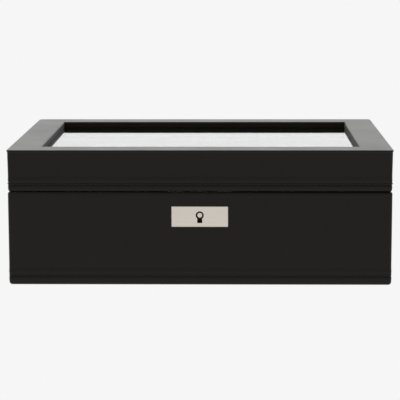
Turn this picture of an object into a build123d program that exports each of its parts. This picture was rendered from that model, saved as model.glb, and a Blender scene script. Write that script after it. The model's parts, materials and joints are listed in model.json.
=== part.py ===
"""Watch winder box: a leather-covered case with a glass lid, two belt-driven winders and a
storage tray for five watches.

Millimetres. Origin at the centre of the felt underside, +X right, +Y to the back, +Z up.
The front, with its lock plate, faces -Y. The lid is closed.
"""

import math
import os

from build123d import *

# ---------------------------------------------------------------- driving dimensions

# Outside of the case
box_width = 360.0
box_depth = 278.0
base_height = 88.0
seam_gap = 1.3
lid_height = 38.7
plan_radius = 3.2
rim_radius = 2.0
foot_radius = 2.6
lid_lip = 0.55
lid_lip_height = 1.6

# Materials of the walls
leather = 1.2
board = 9.0
lining = 1.2
floor_board = 6.0
felt = 1.4
felt_proud = 0.2
underside_margin = 14.0
turn_in = 12.0

# Glass window of the lid
bar_width = 29.3
glass_recess = 6.0
glass_thickness = 3.0
glass_lap = 6.0
glass_play = 0.5
retainer_lip = 6.0

# Storage tray
tray_depth = 120.0
tray_height = 48.6
tray_wall = 3.0
tray_skirt = 4.6
tray_floor = 2.5
divider = 2.5
divider_drop = 4.0
compartments = 5
pillow_side_gap = 3.5
pillow_end_gap = 11.0
pillow_height = 40.0
pillow_radius = 12.0

# Console over the winders
insert_play = 0.6
console_wall = 3.0
slope_angle = 25.0
slope_half = 58.0
floor_clearance = 2.0

# Winder modules, measured along the drum axis from the top face of the slope
winder_spacing = 196.0
drum_radius = 44.0
drum_wall = 2.2
drum_floor = 2.5
drum_depth = 41.5
drum_drop = 0.5
pulley_height = 6.0
axle_radius = 3.0
housing_gap = 3.0
housing_wall = 2.0
flange_radius = 53.0
flange = 2.0
belt_clearance = 4.0
belt_room_gap = 0.53
bezel_radius = 50.0
bezel_proud = 2.0
bezel_lip = 0.8
bezel_play = 0.1
bezel_cover = 1.0
bush_wall = 2.0
bush_flange_radius = 7.5
bush_flange = 1.5
running_fit = 0.05

# Belt drive
motor_offset = 64.0
drum_belt_radius = 30.0
motor_belt_radius = 5.0
belt_width = 2.4
belt_thickness = 1.6
groove_play = 0.1
pulley_rim = 1.0
motor_shaft_radius = 1.5
shaft_tail = 1.0
motor_pulley_gap = 1.0
gearbox_radius = 12.0
gearbox_length = 10.0
motor_radius = 10.5
motor_length = 15.0
pilot_radius = 5.0
motor_wire_radius = 0.5
motor_wire_bend = 1.8
motor_wire_side = 4.0
motor_wire_height = 4.0
motor_wire_gap = 2.2
solder_margin = 1.5

# Watch cuffs
cuff_width = 62.0
cuff_depth = 48.0
cuff_radius = 14.0
cuff_proud = 6.0
cuff_gap = 0.3

# Controls on the slope, between the winders
plate_width = 60.0
plate_height = 44.0
plate_thickness = 1.5
plate_overlap = 4.0
knob_spacing = 32.0
knob_rise = 6.0
knob_radius = 7.0
knob_height = 11.0
knob_gap = 0.5
knob_shaft_radius = 2.0
knob_shaft_depth = 10.0
pot_size = 11.0
lens_radius = 1.5
lens_proud = 1.5
lens_depth = 4.0
controls_drop = 10.0
rocker_length = 12.0
rocker_width = 7.0
rocker_proud = 1.8
rocker_depth = 4.0
rocker_tilt = 7.0
rocker_play = 0.6
rocker_sweep = 2.5
rocker_hollow_radius = 30.0
rocker_hollow = 1.5
rocker_end_radius = 6.3
rocker_frame_x = 1.0
rocker_frame_y = 0.8
circuit_depth = 14.0
circuit_thickness = 1.6
circuit_width = 50.0
circuit_height = 36.0

# Power inlet in the back
jack_height = 28.0
jack_bore_radius = 2.9
jack_bore_depth = 9.5
jack_body_radius = 4.5
jack_flange_radius = 7.0
jack_flange = 1.4
jack_tail = 21.0
jack_play = 0.1
jack_console_play = 2.0
cable_radius = 0.9
cable_run = 24.0
cable_drop = 16.0
cable_bend = 6.0

# Lock
plate_x = 53.0
plate_z = 19.4
lock_plate_top_drop = 12.9
lock_plate_thickness = 1.6
lock_plate_proud = 0.5
lock_plate_corner = 0.6
lock_plate_bevel = 0.35
keyhole_drop = 8.3
keyhole_radius = 3.8
key_slot_width = 4.7
key_slot_reach = 7.3
lock_pin_radius = 2.2
lock_pin_recess = 0.5
case_x = 46.0
case_depth = 6.7
case_wall = 0.8
case_bottom_drop = 32.0
case_play = 0.1
selvage_x = 60.0
selvage_y = 7.0
bolt_thickness = 2.0
bolt_half_length = 18.5
bolt_bottom_drop = 16.5
bolt_top_drop = 4.4
bolt_stroke = 3.0
bolt_stud_radius = 1.0
bolt_stud_spacing = 32.0
bolt_stud_drop = 12.0
bolt_stud_play = 0.1
talon_width = 5.0
talon_height = 2.6
hook_spacing = 20.0
hook_stem = 2.2
hook_foot = 3.0
hook_foot_height = 2.0
hook_bottom_drop = 9.0
hook_thickness = 1.6
hook_play = 0.3
spring_thickness = 0.4
spring_width = 3.4
spring_root_drop = 5.0
spring_crown_reach = 8.0
spring_reach = 13.0
spring_tip_drop = 2.0
spring_gap = 0.3
spring_trim = 0.05

# Hinges
hinge_spacing = 220.0
hinge_length = 50.0
hinge_leaf = 1.2
hinge_let_in = 0.7
hinge_leaf_reach = 9.0
knuckle_radius = 2.5
knuckle_count = 5
knuckle_gap = 0.15
hinge_pin_radius = 1.2
hinge_stand_off = 0.1

# Countersunk wood screws
screw_head_radius = 2.2
screw_shank_radius = 1.1
screw_length = 9.0
screw_spacing = 17.0

# Cutters run past the faces they cut, and edges are picked within a tolerance
past = 1.0
level_tolerance = 0.001

# ---------------------------------------------------------------- worked-out places

wall = leather + board + lining
half_x = box_width / 2
half_y = box_depth / 2
inner_x = half_x - wall
inner_y = half_y - wall
board_in = leather + board
floor_top = felt + floor_board
lid_bottom = base_height + seam_gap
lid_top = lid_bottom + lid_height
glass_top = lid_top - glass_recess
glass_bottom = glass_top - glass_thickness
retainer_bottom = glass_bottom - retainer_lip
window_x = box_width - 2 * bar_width
window_y = box_depth - 2 * bar_width
insert_x = inner_x - insert_play
tray_front = -inner_y + insert_play
tray_back = tray_front + tray_depth
console_front = tray_back + insert_play
console_back = inner_y - insert_play

drum_top = -console_wall - drum_drop
drum_bottom = drum_top - drum_depth
pulley_bottom = drum_bottom - pulley_height
housing_inner = drum_radius + housing_gap
housing_outer = housing_inner + housing_wall
pan_top = pulley_bottom - belt_clearance
pan_bottom = pan_top - housing_wall

belt_lean = math.asin((drum_belt_radius - motor_belt_radius) / motor_offset)
belt_reach = drum_belt_radius + belt_thickness / 2
belt_half_at_wall = housing_inner * math.cos(belt_lean + math.acos(belt_reach / housing_inner))
belt_room_radius = belt_half_at_wall + belt_room_gap

tilt = math.radians(slope_angle)
slope_y = console_front + slope_half * math.cos(tilt)
slope_z = (floor_top + floor_clearance - pan_bottom * math.cos(tilt)
           + housing_outer * math.sin(tilt))
belt_level = drum_bottom - pulley_height / 2

hinge_y = half_y + knuckle_radius + hinge_stand_off
hinge_z = base_height + seam_gap / 2
front_board_y = -half_y + leather
front_board_back = front_board_y + board
keyhole_z = base_height - lock_plate_top_drop - keyhole_drop
bolt_bottom = base_height - bolt_bottom_drop
bolt_top = base_height - bolt_top_drop
bolt_stud_height = base_height - bolt_stud_drop
hook_bottom = base_height - hook_bottom_drop


# ---------------------------------------------------------------- shape helpers

def block(x, y, z):
    """A box between a low and a high face along X, Y and Z."""
    size = [high - low for low, high in (x, y, z)]
    middle = [(high + low) / 2 for low, high in (x, y, z)]
    return Pos(*middle) * Box(*size)


def slab(width, depth, low, high, radius=0.0):
    """A block centred on the Z axis, with its upright edges rounded."""
    shape = Pos(0, 0, (low + high) / 2) * Box(width, depth, high - low)
    if radius:
        shape = fillet(shape.edges().filter_by(Axis.Z), radius)
    return shape


def rod(radius, low, high, x=0.0, y=0.0):
    """A cylinder along Z between two levels."""
    return Pos(x, y, (low + high) / 2) * Cylinder(radius, high - low)


def rod_y(radius, low, high, x=0.0, z=0.0):
    """A cylinder along Y between two places."""
    return Pos(x, (low + high) / 2, z) * Rot(90, 0, 0) * Cylinder(radius, high - low)


def rod_x(radius, low, high, y=0.0, z=0.0):
    """A cylinder along X between two places."""
    return Pos((low + high) / 2, y, z) * Rot(0, 90, 0) * Cylinder(radius, high - low)


def ring_frame(outer, inner, low, high):
    """A rectangular frame between two plan sizes."""
    return slab(*outer, low, high) - slab(*inner, low - past, high + past)


def round_rim(shape, level, radius):
    """Round the edges that lie in the level plane."""
    edges = shape.edges().filter_by_position(Axis.Z, level - level_tolerance, level + level_tolerance)
    return fillet(edges, radius)


def mitre_wedge(side, low, high):
    """The share of the box that one wall takes between its 45 degree mitres."""
    reach = bar_width + wall
    turned = {"front": 0, "right": 90, "back": 180, "left": 270}[side]
    along, across = (half_x, half_y) if side in ("front", "back") else (half_y, half_x)
    outline = Polygon((-along, -across), (along, -across),
                      (along - reach, -across + reach), (-along + reach, -across + reach),
                      align=None)
    return Pos(0, 0, low) * Rot(0, 0, turned) * extrude(outline, high - low)


def in_slope(x=0.0):
    """The frame of the console's slope: +Z leaves the slope, +X stays right."""
    return Location(Plane(origin=(x, slope_y, slope_z), x_dir=(1, 0, 0),
                          z_dir=(0, -math.sin(tilt), math.cos(tilt))))


def wood_screw(x, y, level, up):
    """A countersunk screw with its head at a level, and its shank up or down from it."""
    way = 1 if up else -1
    head_end = level + way * hinge_leaf
    tip = level + way * screw_length
    low, high = sorted((level, head_end))
    cone = Cone(screw_shank_radius if not up else screw_head_radius,
                screw_head_radius if not up else screw_shank_radius, high - low)
    shank_low, shank_high = sorted((head_end, tip))
    return (Pos(x, y, (low + high) / 2) * cone) + rod(screw_shank_radius, shank_low, shank_high, x, y)


nodes = {}


def keep(name, shape):
    """Name a finished piece."""
    nodes[name] = shape
    return shape


# ---------------------------------------------------------------- screws, cut into what they hold

hinge_centres = (-hinge_spacing / 2, hinge_spacing / 2)
hinge_screw_y = half_y - leather - board / 2
base_leaf_top = base_height - hinge_let_in + hinge_leaf
lid_leaf_bottom = lid_bottom + hinge_let_in - hinge_leaf
hinge_screw_xs = [centre + step * screw_spacing for centre in hinge_centres for step in (-1, 0, 1)]

base_screws = [wood_screw(x, hinge_screw_y, base_leaf_top, False) for x in hinge_screw_xs]
lid_hinge_screws = [wood_screw(x, hinge_screw_y, lid_leaf_bottom, True) for x in hinge_screw_xs]

lock_y = front_board_back - case_depth / 2
selvage_screw_x = (selvage_x + case_x) / 4
selvage_screws = [wood_screw(x, lock_y, base_height, False) for x in (-selvage_screw_x, selvage_screw_x)]
catch_screws = [wood_screw(x, lock_y, lid_bottom, True) for x in (-selvage_screw_x, selvage_screw_x)]

# ---------------------------------------------------------------- case

base_outer = slab(box_width, box_depth, felt_proud, base_height, plan_radius)
base_outer = round_rim(base_outer, base_height, rim_radius)
base_outer = round_rim(base_outer, felt_proud, foot_radius)
base_core = slab(box_width - 2 * leather, box_depth - 2 * leather,
                 felt, base_height - leather, plan_radius - leather)
base_core = round_rim(base_core, base_height - leather, rim_radius - leather)
base_core = round_rim(base_core, felt, foot_radius - leather)
well = (box_width - 2 * board_in, box_depth - 2 * board_in)
room = (box_width - 2 * wall, box_depth - 2 * wall)

keep("base_floor_board", slab(*well, felt, floor_top))

key_tunnel = rod_y(keyhole_radius, -half_y - past, front_board_back, 0, keyhole_z)
key_tunnel += block((-key_slot_width / 2, key_slot_width / 2), (-half_y - past, front_board_back),
                    (keyhole_z - key_slot_reach, keyhole_z))
lock_plate_z = (base_height - lock_plate_top_drop - plate_z, base_height - lock_plate_top_drop)
lock_plate_y = (-half_y - lock_plate_proud, -half_y - lock_plate_proud + lock_plate_thickness)
lock_plate_seat = block((-plate_x / 2, plate_x / 2), (-half_y - past, lock_plate_y[1]), lock_plate_z)
case_bottom = base_height - leather - case_bottom_drop
case_x_faces = (-case_x / 2, case_x / 2)
mortise = block((case_x_faces[0] - case_play, case_x_faces[1] + case_play),
                (front_board_back - case_depth - case_play, front_board_back),
                (case_bottom - case_play, base_height))
selvage_y_faces = (lock_y - selvage_y / 2, lock_y + selvage_y / 2)
selvage_seat = block((-selvage_x / 2, selvage_x / 2), selvage_y_faces,
                     (base_height - leather, base_height + past))
jack_tunnel = rod_y(jack_body_radius + jack_play, half_y - wall - past, half_y + past, 0, jack_height)

walls = base_core - slab(*well, felt - past, base_height)
for side in ("front", "back", "left", "right"):
    side_board = walls & mitre_wedge(side, 0, base_height)
    if side == "front":
        side_board -= [mortise, key_tunnel, lock_plate_seat, *selvage_screws]
    if side == "back":
        side_board -= [jack_tunnel, *base_screws]
    keep(f"base_{side}_board", side_board)

underside_hole = (box_width - 2 * underside_margin, box_depth - 2 * underside_margin)
base_leather = base_outer - base_core
base_leather -= slab(*room, base_height - leather - past, base_height + past)
base_leather -= slab(*underside_hole, -past, felt + past)
base_leather += ring_frame(well, room, base_height - turn_in, base_height - leather)
hinge_recesses = [block((centre - hinge_length / 2, centre + hinge_length / 2),
                        (half_y - hinge_leaf_reach, half_y + past),
                        (base_height - hinge_let_in, base_height + past)) for centre in hinge_centres]
base_leather -= [lock_plate_seat, key_tunnel, selvage_seat, jack_tunnel, *hinge_recesses, *base_screws]
keep("base_leather", base_leather)

base_lining = ring_frame(well, room, floor_top, base_height - turn_in) - jack_tunnel
keep("base_lining", base_lining)
keep("base_felt", slab(*underside_hole, 0, felt))

# ---------------------------------------------------------------- lid

lid_outer = slab(box_width, box_depth, lid_bottom, lid_top, plan_radius)
lid_outer = round_rim(lid_outer, lid_bottom, rim_radius)
lid_outer += slab(box_width + 2 * lid_lip, box_depth + 2 * lid_lip,
                  lid_top - lid_lip_height, lid_top, plan_radius + lid_lip)
lid_core = slab(box_width - 2 * leather, box_depth - 2 * leather,
                lid_bottom + leather, lid_top - leather, plan_radius - leather)
lid_core = round_rim(lid_core, lid_bottom + leather, rim_radius - leather)
board_window = (window_x + 2 * leather, window_y + 2 * leather)

keep("lid_top_frame", (lid_core & slab(box_width, box_depth, glass_top, lid_top))
     - slab(*board_window, 0, lid_top + past))
lid_walls = lid_core - slab(box_width, box_depth, glass_top, lid_top + past) - slab(*well, 0, lid_top)
for side in ("front", "back", "left", "right"):
    side_board = lid_walls & mitre_wedge(side, lid_bottom, lid_top)
    if side == "front":
        side_board -= catch_screws
    if side == "back":
        side_board -= lid_hinge_screws
    keep(f"lid_{side}_board", side_board)

catch_seat = block((-selvage_x / 2, selvage_x / 2), selvage_y_faces,
                   (lid_bottom - past, lid_bottom + leather))
lid_leather = lid_outer - lid_core
lid_leather -= slab(window_x, window_y, glass_top, lid_top + past)
lid_leather += ring_frame(board_window, (window_x, window_y), glass_top, lid_top - leather)
lid_leather -= slab(*room, lid_bottom - past, lid_bottom + leather + past)
lid_leather += ring_frame(well, room, lid_bottom + leather, lid_bottom + turn_in)
lid_recesses = [block((centre - hinge_length / 2, centre + hinge_length / 2),
                      (half_y - hinge_leaf_reach, half_y + past),
                      (lid_bottom - past, lid_bottom + hinge_let_in)) for centre in hinge_centres]
lid_leather -= [catch_seat, *lid_recesses, *lid_hinge_screws]
keep("lid_leather", lid_leather)

keep("lid_lining", ring_frame(well, room, lid_bottom + turn_in, retainer_bottom))
glass_size = (window_x + 2 * glass_lap, window_y + 2 * glass_lap)
keep("lid_glass", slab(*glass_size, glass_bottom, glass_top))
glass_seat = (glass_size[0] + 2 * glass_play, glass_size[1] + 2 * glass_play)
keep("glass_retainer", ring_frame(well, (window_x, window_y), retainer_bottom, glass_top)
     - slab(*glass_seat, glass_bottom, glass_top + past))

# ---------------------------------------------------------------- hinges

knuckle = hinge_length / knuckle_count


def knuckle_span(centre, index, grow=0.0):
    """The ends of one knuckle along X."""
    low = centre - hinge_length / 2 + index * knuckle + knuckle_gap / 2
    return low - grow, low + knuckle - knuckle_gap + grow


def hinge_leaf_solid(centre, low, own_first, screws):
    """A leaf with every second knuckle, cut back round the other leaf's knuckles."""
    leaf = block((centre - hinge_length / 2, centre + hinge_length / 2),
                 (half_y - hinge_leaf_reach, hinge_y), (low, low + hinge_leaf))
    for index in range(knuckle_count):
        own = index % 2 == own_first
        span = knuckle_span(centre, index, 0.0 if own else knuckle_gap)
        if own:
            leaf += rod_x(knuckle_radius, *span, hinge_y, hinge_z)
        else:
            leaf -= rod_x(knuckle_radius + knuckle_gap, *span, hinge_y, hinge_z)
    leaf -= rod_x(hinge_pin_radius + running_fit, centre - hinge_length, centre + hinge_length,
                  hinge_y, hinge_z)
    return leaf - screws


keep("hinge_base_leaves", Compound([
    hinge_leaf_solid(centre, base_leaf_top - hinge_leaf, 0, base_screws) for centre in hinge_centres]))
keep("hinge_lid_leaves", Compound([
    hinge_leaf_solid(centre, lid_leaf_bottom, 1, lid_hinge_screws) for centre in hinge_centres]))
keep("hinge_pins", Compound([
    rod_x(hinge_pin_radius, centre - hinge_length / 2, centre + hinge_length / 2, hinge_y, hinge_z)
    for centre in hinge_centres]))
keep("hinge_screws", Compound(base_screws))
keep("lid_screws", Compound(lid_hinge_screws + catch_screws))

# ---------------------------------------------------------------- lock

bolt_y = (front_board_back - case_depth / 2 - bolt_thickness / 2,
          front_board_back - case_depth / 2 + bolt_thickness / 2)
hook_xs = (-hook_spacing / 2, hook_spacing / 2)


def hook_room(x, grow):
    """The space of one hook of the catch, grown by a clearance."""
    low_y = lock_y - hook_thickness / 2 - grow
    high_y = lock_y + hook_thickness / 2 + grow
    return block((x - hook_foot - grow, x + hook_stem + grow), (low_y, high_y),
                 (hook_bottom - grow, lid_bottom + leather))


def hook(x):
    """A stem with a foot that points left, for the bolt's finger to slide over."""
    y = (lock_y - hook_thickness / 2, lock_y + hook_thickness / 2)
    stem = block((x, x + hook_stem), y, (hook_bottom, lid_bottom + leather))
    foot = block((x - hook_foot, x + hook_stem), y, (hook_bottom, hook_bottom + hook_foot_height))
    return stem + foot


lock_plate = block((-plate_x / 2, plate_x / 2), lock_plate_y, lock_plate_z)
lock_plate = fillet(lock_plate.edges().filter_by(Axis.Y), lock_plate_corner)
front_edges = lock_plate.faces().sort_by(Axis.Y)[0].edges()
lock_plate = chamfer(front_edges, lock_plate_bevel)
keep("lock_plate", lock_plate - key_tunnel)

case_front = front_board_back - case_depth
lock_case = block(case_x_faces, (case_front, front_board_back), (case_bottom, base_height - leather))
lock_case -= block((case_x_faces[0] + case_wall, case_x_faces[1] - case_wall),
                   (case_front - past, front_board_back - case_wall),
                   (case_bottom + case_wall, base_height - leather - case_wall))
lock_case += block((-selvage_x / 2, selvage_x / 2), selvage_y_faces,
                   (base_height - leather, base_height))
studs = [rod_y(bolt_stud_radius, bolt_y[0] - case_wall, front_board_back - case_wall, x, bolt_stud_height)
         for x in (-bolt_stud_spacing / 2 + bolt_stroke, bolt_stud_spacing / 2)]
lock_case += studs
lock_case -= [hook_room(x, 2 * hook_play) for x in hook_xs]
lock_case -= selvage_screws
lock_case -= rod_y(lock_pin_radius, front_board_back - case_wall - past, front_board_back + past,
                   0, keyhole_z)
keep("lock_case", lock_case)
keep("lock_pin", rod_y(lock_pin_radius, -half_y - lock_plate_proud + lock_pin_recess,
                       front_board_back, 0, keyhole_z))
keep("lock_screws", Compound(selvage_screws))

bolt = block((-bolt_half_length, bolt_half_length - bolt_stroke), bolt_y, (bolt_bottom, bolt_top))
for x in hook_xs:
    window_left = x - hook_foot - bolt_stroke - hook_play
    finger_tip = x - hook_foot - hook_play
    window_right = x + hook_stem + hook_play
    finger_low = hook_bottom + hook_foot_height + hook_play
    reach_y = (bolt_y[0] - past, bolt_y[1] + past)
    bolt -= block((window_left, window_right), reach_y, (hook_bottom - hook_play, finger_low))
    bolt -= block((finger_tip, window_right), reach_y, (hook_bottom, bolt_top + past))
for stud_x in (-bolt_stud_spacing / 2 + bolt_stroke, bolt_stud_spacing / 2):
    slot_radius = bolt_stud_radius + bolt_stud_play
    for x in (stud_x, stud_x - bolt_stroke):
        bolt -= rod_y(slot_radius, bolt_y[0] - past, bolt_y[1] + past, x, bolt_stud_height)
    bolt -= block((stud_x - bolt_stroke, stud_x), (bolt_y[0] - past, bolt_y[1] + past),
                  (bolt_stud_height - slot_radius, bolt_stud_height + slot_radius))
bolt -= block((-talon_width / 2, talon_width / 2), (bolt_y[0] - past, bolt_y[1] + past),
              (bolt_bottom - past, bolt_bottom + talon_height))
keep("lock_bolt", bolt)

spring_root = (case_x_faces[1] - case_wall, bolt_bottom - spring_root_drop)
spring_crown = (spring_root[0] - spring_crown_reach, bolt_bottom - spring_gap - spring_thickness / 2)
spring_tip = (spring_root[0] - spring_reach, bolt_bottom - spring_tip_drop)
spring_path = Plane.XZ * ThreePointArc(spring_root, spring_crown, spring_tip)
spring_section = Plane(origin=spring_path @ 0, x_dir=(0, 1, 0), z_dir=spring_path % 0)
leaf_spring = sweep(spring_section * Rectangle(spring_width, spring_thickness), spring_path)
leaf_spring = Pos(0, lock_y, 0) * leaf_spring
leaf_spring &= block((0, spring_root[0]), (-half_y, 0), (0, bolt_bottom - spring_trim))
keep("lock_spring", leaf_spring)

lid_catch = block((-selvage_x / 2, selvage_x / 2), selvage_y_faces, (lid_bottom, lid_bottom + leather))
lid_catch += [hook(x) for x in hook_xs]
keep("lid_catch", lid_catch - catch_screws)

# ---------------------------------------------------------------- storage

tray_low = floor_top + tray_skirt
tray = block((-insert_x, insert_x), (tray_front, tray_back), (floor_top, floor_top + tray_height))
tray_room_x = (-insert_x + tray_wall, insert_x - tray_wall)
tray_room_y = (tray_front + tray_wall, tray_back - tray_wall)
tray -= block(tray_room_x, tray_room_y, (tray_low + tray_floor, floor_top + tray_height + past))
tray -= block(tray_room_x, tray_room_y, (floor_top - past, tray_low))
keep("storage_tray", tray)

pitch = (tray_room_x[1] - tray_room_x[0] + divider) / compartments
divider_xs = [tray_room_x[0] + pitch * count - divider / 2 for count in range(1, compartments)]
keep("tray_dividers", Compound([
    block((x - divider / 2, x + divider / 2), tray_room_y,
          (tray_low + tray_floor, floor_top + tray_height - divider_drop)) for x in divider_xs]))

pillow_width = pitch - divider - 2 * pillow_side_gap
for count in range(compartments):
    x = tray_room_x[0] + pitch * (count + 0.5) - divider / 2
    low = tray_low + tray_floor
    pillow = block((x - pillow_width / 2, x + pillow_width / 2),
                   (tray_room_y[0] + pillow_end_gap, tray_room_y[1] - pillow_end_gap),
                   (low, low + pillow_height))
    pillow = fillet(pillow.edges().filter_by(Axis.X), pillow_radius)
    keep(f"pillow_{count + 1}", pillow)

# ---------------------------------------------------------------- console


def console_outline(inset):
    """The console's side view, moved in from its faces by a wall."""
    front = console_front + inset
    back = console_back - inset
    top = slope_z + slope_half * math.sin(tilt) - inset

    def slope_height(y):
        return slope_z + (math.sin(tilt) * (y - slope_y) - inset) / math.cos(tilt)

    crest = slope_y + ((top - slope_z) * math.cos(tilt) + inset) / math.sin(tilt)
    return [(front, floor_top), (front, slope_height(front)), (crest, top),
            (back, top), (back, floor_top)]


def console_prism(inset, half):
    face = Plane.YZ * Polygon(*console_outline(inset), align=None)
    return extrude(face, half, both=True)


console = console_prism(0.0, insert_x) - console_prism(console_wall, insert_x - console_wall)
deck_hole_radius = bezel_radius - plate_overlap
for x in (-winder_spacing / 2, winder_spacing / 2):
    console -= in_slope(x) * rod(deck_hole_radius, -console_wall - past, past)
console -= in_slope() * block((-plate_width / 2 + plate_overlap, plate_width / 2 - plate_overlap),
                              (-plate_height / 2 + plate_overlap, plate_height / 2 - plate_overlap),
                              (-console_wall - past, past))
console -= rod_y(jack_body_radius + jack_console_play, console_back - 2 * console_wall,
                 console_back + past, 0, jack_height)
keep("winder_console", console)

# ---------------------------------------------------------------- winders

bush_radius = axle_radius + running_fit + bush_wall
bush_low = pan_bottom - bush_flange
extension_top = pulley_bottom + pulley_height + motor_pulley_gap + housing_wall
extension_radius = belt_room_radius + housing_wall
gearbox_low = extension_top


def drive_plan(radius, way):
    """A round-ended tongue from the drum axis to the motor axis."""
    tongue = Rectangle(motor_offset, 2 * radius, align=(Align.MIN, Align.CENTER))
    tongue += Pos(motor_offset, 0) * Circle(radius)
    return tongue if way > 0 else mirror(tongue, Plane.YZ)


def grooved(radius, low, high, belt_radius):
    """A pulley with a flat-bottomed groove for the belt."""
    depth = belt_thickness / 2 + groove_play
    groove_half = belt_width / 2 + groove_play
    groove = rod(radius + past, belt_level - groove_half, belt_level + groove_half)
    groove -= rod(belt_radius - depth, belt_level - groove_half, belt_level + groove_half)
    return rod(radius, low, high) - groove


def make_winder(name, x, way):
    """One winder module, with its motor on the side that way points to."""
    seat = in_slope(x)
    motor_x = way * motor_offset

    housing = rod(housing_outer, pan_bottom, -console_wall)
    housing += rod(flange_radius, -console_wall - flange, -console_wall)
    housing += Pos(0, 0, pan_bottom) * extrude(drive_plan(extension_radius, way), extension_top - pan_bottom)
    housing -= rod(housing_inner, pan_top, past)
    housing -= Pos(0, 0, pan_top) * extrude(drive_plan(belt_room_radius, way),
                                           extension_top - housing_wall - pan_top)
    housing -= rod(bush_radius, pan_bottom - past, pan_top + past)
    housing -= rod(pilot_radius + running_fit, extension_top - housing_wall - past,
                   extension_top + past, motor_x)
    keep(f"{name}_housing", seat * housing)

    bush = rod(bush_radius, bush_low, pan_top) + rod(bush_flange_radius, bush_low, pan_bottom)
    bushes.append(seat * (bush - rod(axle_radius + running_fit, bush_low - past, pan_top + past)))

    drum = rod(drum_radius, drum_bottom, drum_top)
    drum -= rod(drum_radius - drum_wall, drum_bottom + drum_floor, drum_top + past)
    drum += grooved(drum_belt_radius + pulley_rim, pulley_bottom, drum_bottom, drum_belt_radius)
    drum += rod(axle_radius, bush_low - pulley_rim, pulley_bottom)
    keep(f"{name}_drum", seat * drum)

    bezel = rod(bezel_radius, 0, bezel_proud)
    bezel = fillet(bezel.edges().sort_by(Axis.Z)[-1], bezel_lip)
    bezel += rod(deck_hole_radius - bezel_play, -console_wall, 0)
    bezel -= rod(drum_radius - bezel_cover, -console_wall - past, bezel_proud + past)
    keep(f"{name}_bezel", seat * bezel)

    gearmotor = rod(gearbox_radius, gearbox_low, gearbox_low + gearbox_length, motor_x)
    gearmotor += rod(motor_radius, gearbox_low, gearbox_low + gearbox_length + motor_length, motor_x)
    gearmotor += rod(pilot_radius, extension_top - housing_wall, gearbox_low, motor_x)
    shaft_top = gearbox_low + gearbox_length - housing_wall
    gearmotor -= rod(motor_shaft_radius + running_fit, pan_top, shaft_top + running_fit, motor_x)
    keep(f"{name}_gearmotor", seat * gearmotor)

    pulley = grooved(motor_belt_radius + pulley_rim, pulley_bottom, drum_bottom, motor_belt_radius)
    pulley += rod(motor_shaft_radius, pulley_bottom - shaft_tail, shaft_top)
    keep(f"{name}_motor_pulley", seat * Pos(motor_x, 0, 0) * pulley)

    half_belt = belt_thickness / 2

    def belt_loop(grow):
        near = Circle(drum_belt_radius + grow)
        far = Pos(motor_x, 0) * Circle(motor_belt_radius + grow)
        return make_hull(near.edges() + far.edges())

    belt = Pos(0, 0, belt_level - belt_width / 2) * extrude(
        belt_loop(half_belt) - belt_loop(-half_belt), belt_width)
    keep(f"{name}_drive_belt", seat * belt)

    cuff = slab(cuff_width, cuff_depth, drum_bottom + drum_floor + cuff_gap, cuff_proud)
    cuff = fillet(cuff.edges().filter_by(Axis.Y), cuff_radius)
    keep(f"{name}_cuff", seat * cuff)


bushes = []
make_winder("left", -winder_spacing / 2, 1)
make_winder("right", winder_spacing / 2, -1)
keep("axle_bushes", Compound(bushes))

# ---------------------------------------------------------------- controls

seat = in_slope()
knob_xs = (-knob_spacing / 2, knob_spacing / 2)
board_top = -circuit_depth + circuit_thickness
rocker_room = block((-rocker_length / 2 - rocker_play, rocker_length / 2 + rocker_play),
                    (-controls_drop - rocker_width / 2 - rocker_play,
                     -controls_drop + rocker_width / 2 + rocker_play),
                    (-rocker_depth - rocker_sweep, plate_thickness + past))

control_plate = slab(plate_width, plate_height, 0, plate_thickness, plate_overlap)
control_plate -= [rod(knob_shaft_radius + knob_gap, -past, plate_thickness + past, x, knob_rise)
                  for x in knob_xs]
control_plate -= [rod(lens_radius, -past, plate_thickness + past, x, -controls_drop) for x in knob_xs]
keep("control_plate", seat * (control_plate - rocker_room))

lens_dome = Sphere(lens_radius) & rod(lens_radius, 0, lens_proud)
keep("indicator_lenses", Compound([
    seat * (rod(lens_radius, -lens_depth, plate_thickness, x, -controls_drop)
            + Pos(x, -controls_drop, plate_thickness) * lens_dome) for x in knob_xs]))

circuit = slab(circuit_width, circuit_height, -circuit_depth, board_top)
for x in knob_xs:
    circuit += block((x - pot_size / 2, x + pot_size / 2),
                     (knob_rise - pot_size / 2, knob_rise + pot_size / 2), (board_top, 0))
    circuit += rod(lens_radius, board_top, -lens_depth, x, -controls_drop)
    circuit -= rod(knob_shaft_radius + running_fit, -knob_shaft_depth - running_fit, past, x, knob_rise)
frame_x = rocker_length / 2 + rocker_play + rocker_frame_x
frame_y = rocker_width / 2 + rocker_play + rocker_frame_y
circuit += block((-frame_x, frame_x), (-controls_drop - frame_y, -controls_drop + frame_y), (board_top, 0))
keep("circuit_board", seat * (circuit - rocker_room))

for side, x in zip(("left", "right"), knob_xs):
    knob = rod(knob_radius, plate_thickness + knob_gap, plate_thickness + knob_gap + knob_height)
    knob = chamfer(knob.edges().sort_by(Axis.Z)[-1], bezel_lip)
    knob += rod(knob_shaft_radius, -knob_shaft_depth, plate_thickness + knob_gap)
    keep(f"{side}_program_knob", seat * Pos(x, knob_rise, 0) * knob)

rocker = slab(rocker_length, rocker_width, -rocker_depth, plate_thickness + rocker_proud)
hollow_middle = plate_thickness + rocker_proud + rocker_hollow_radius - rocker_hollow
rocker -= rod_y(rocker_hollow_radius, -rocker_width, rocker_width, 0, hollow_middle)
rocker &= rod_y(rocker_end_radius, -rocker_width / 2, rocker_width / 2)
keep("power_rocker", seat * Pos(0, -controls_drop, 0) * Rot(0, -rocker_tilt, 0) * rocker)

# ---------------------------------------------------------------- power inlet and wiring

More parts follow.
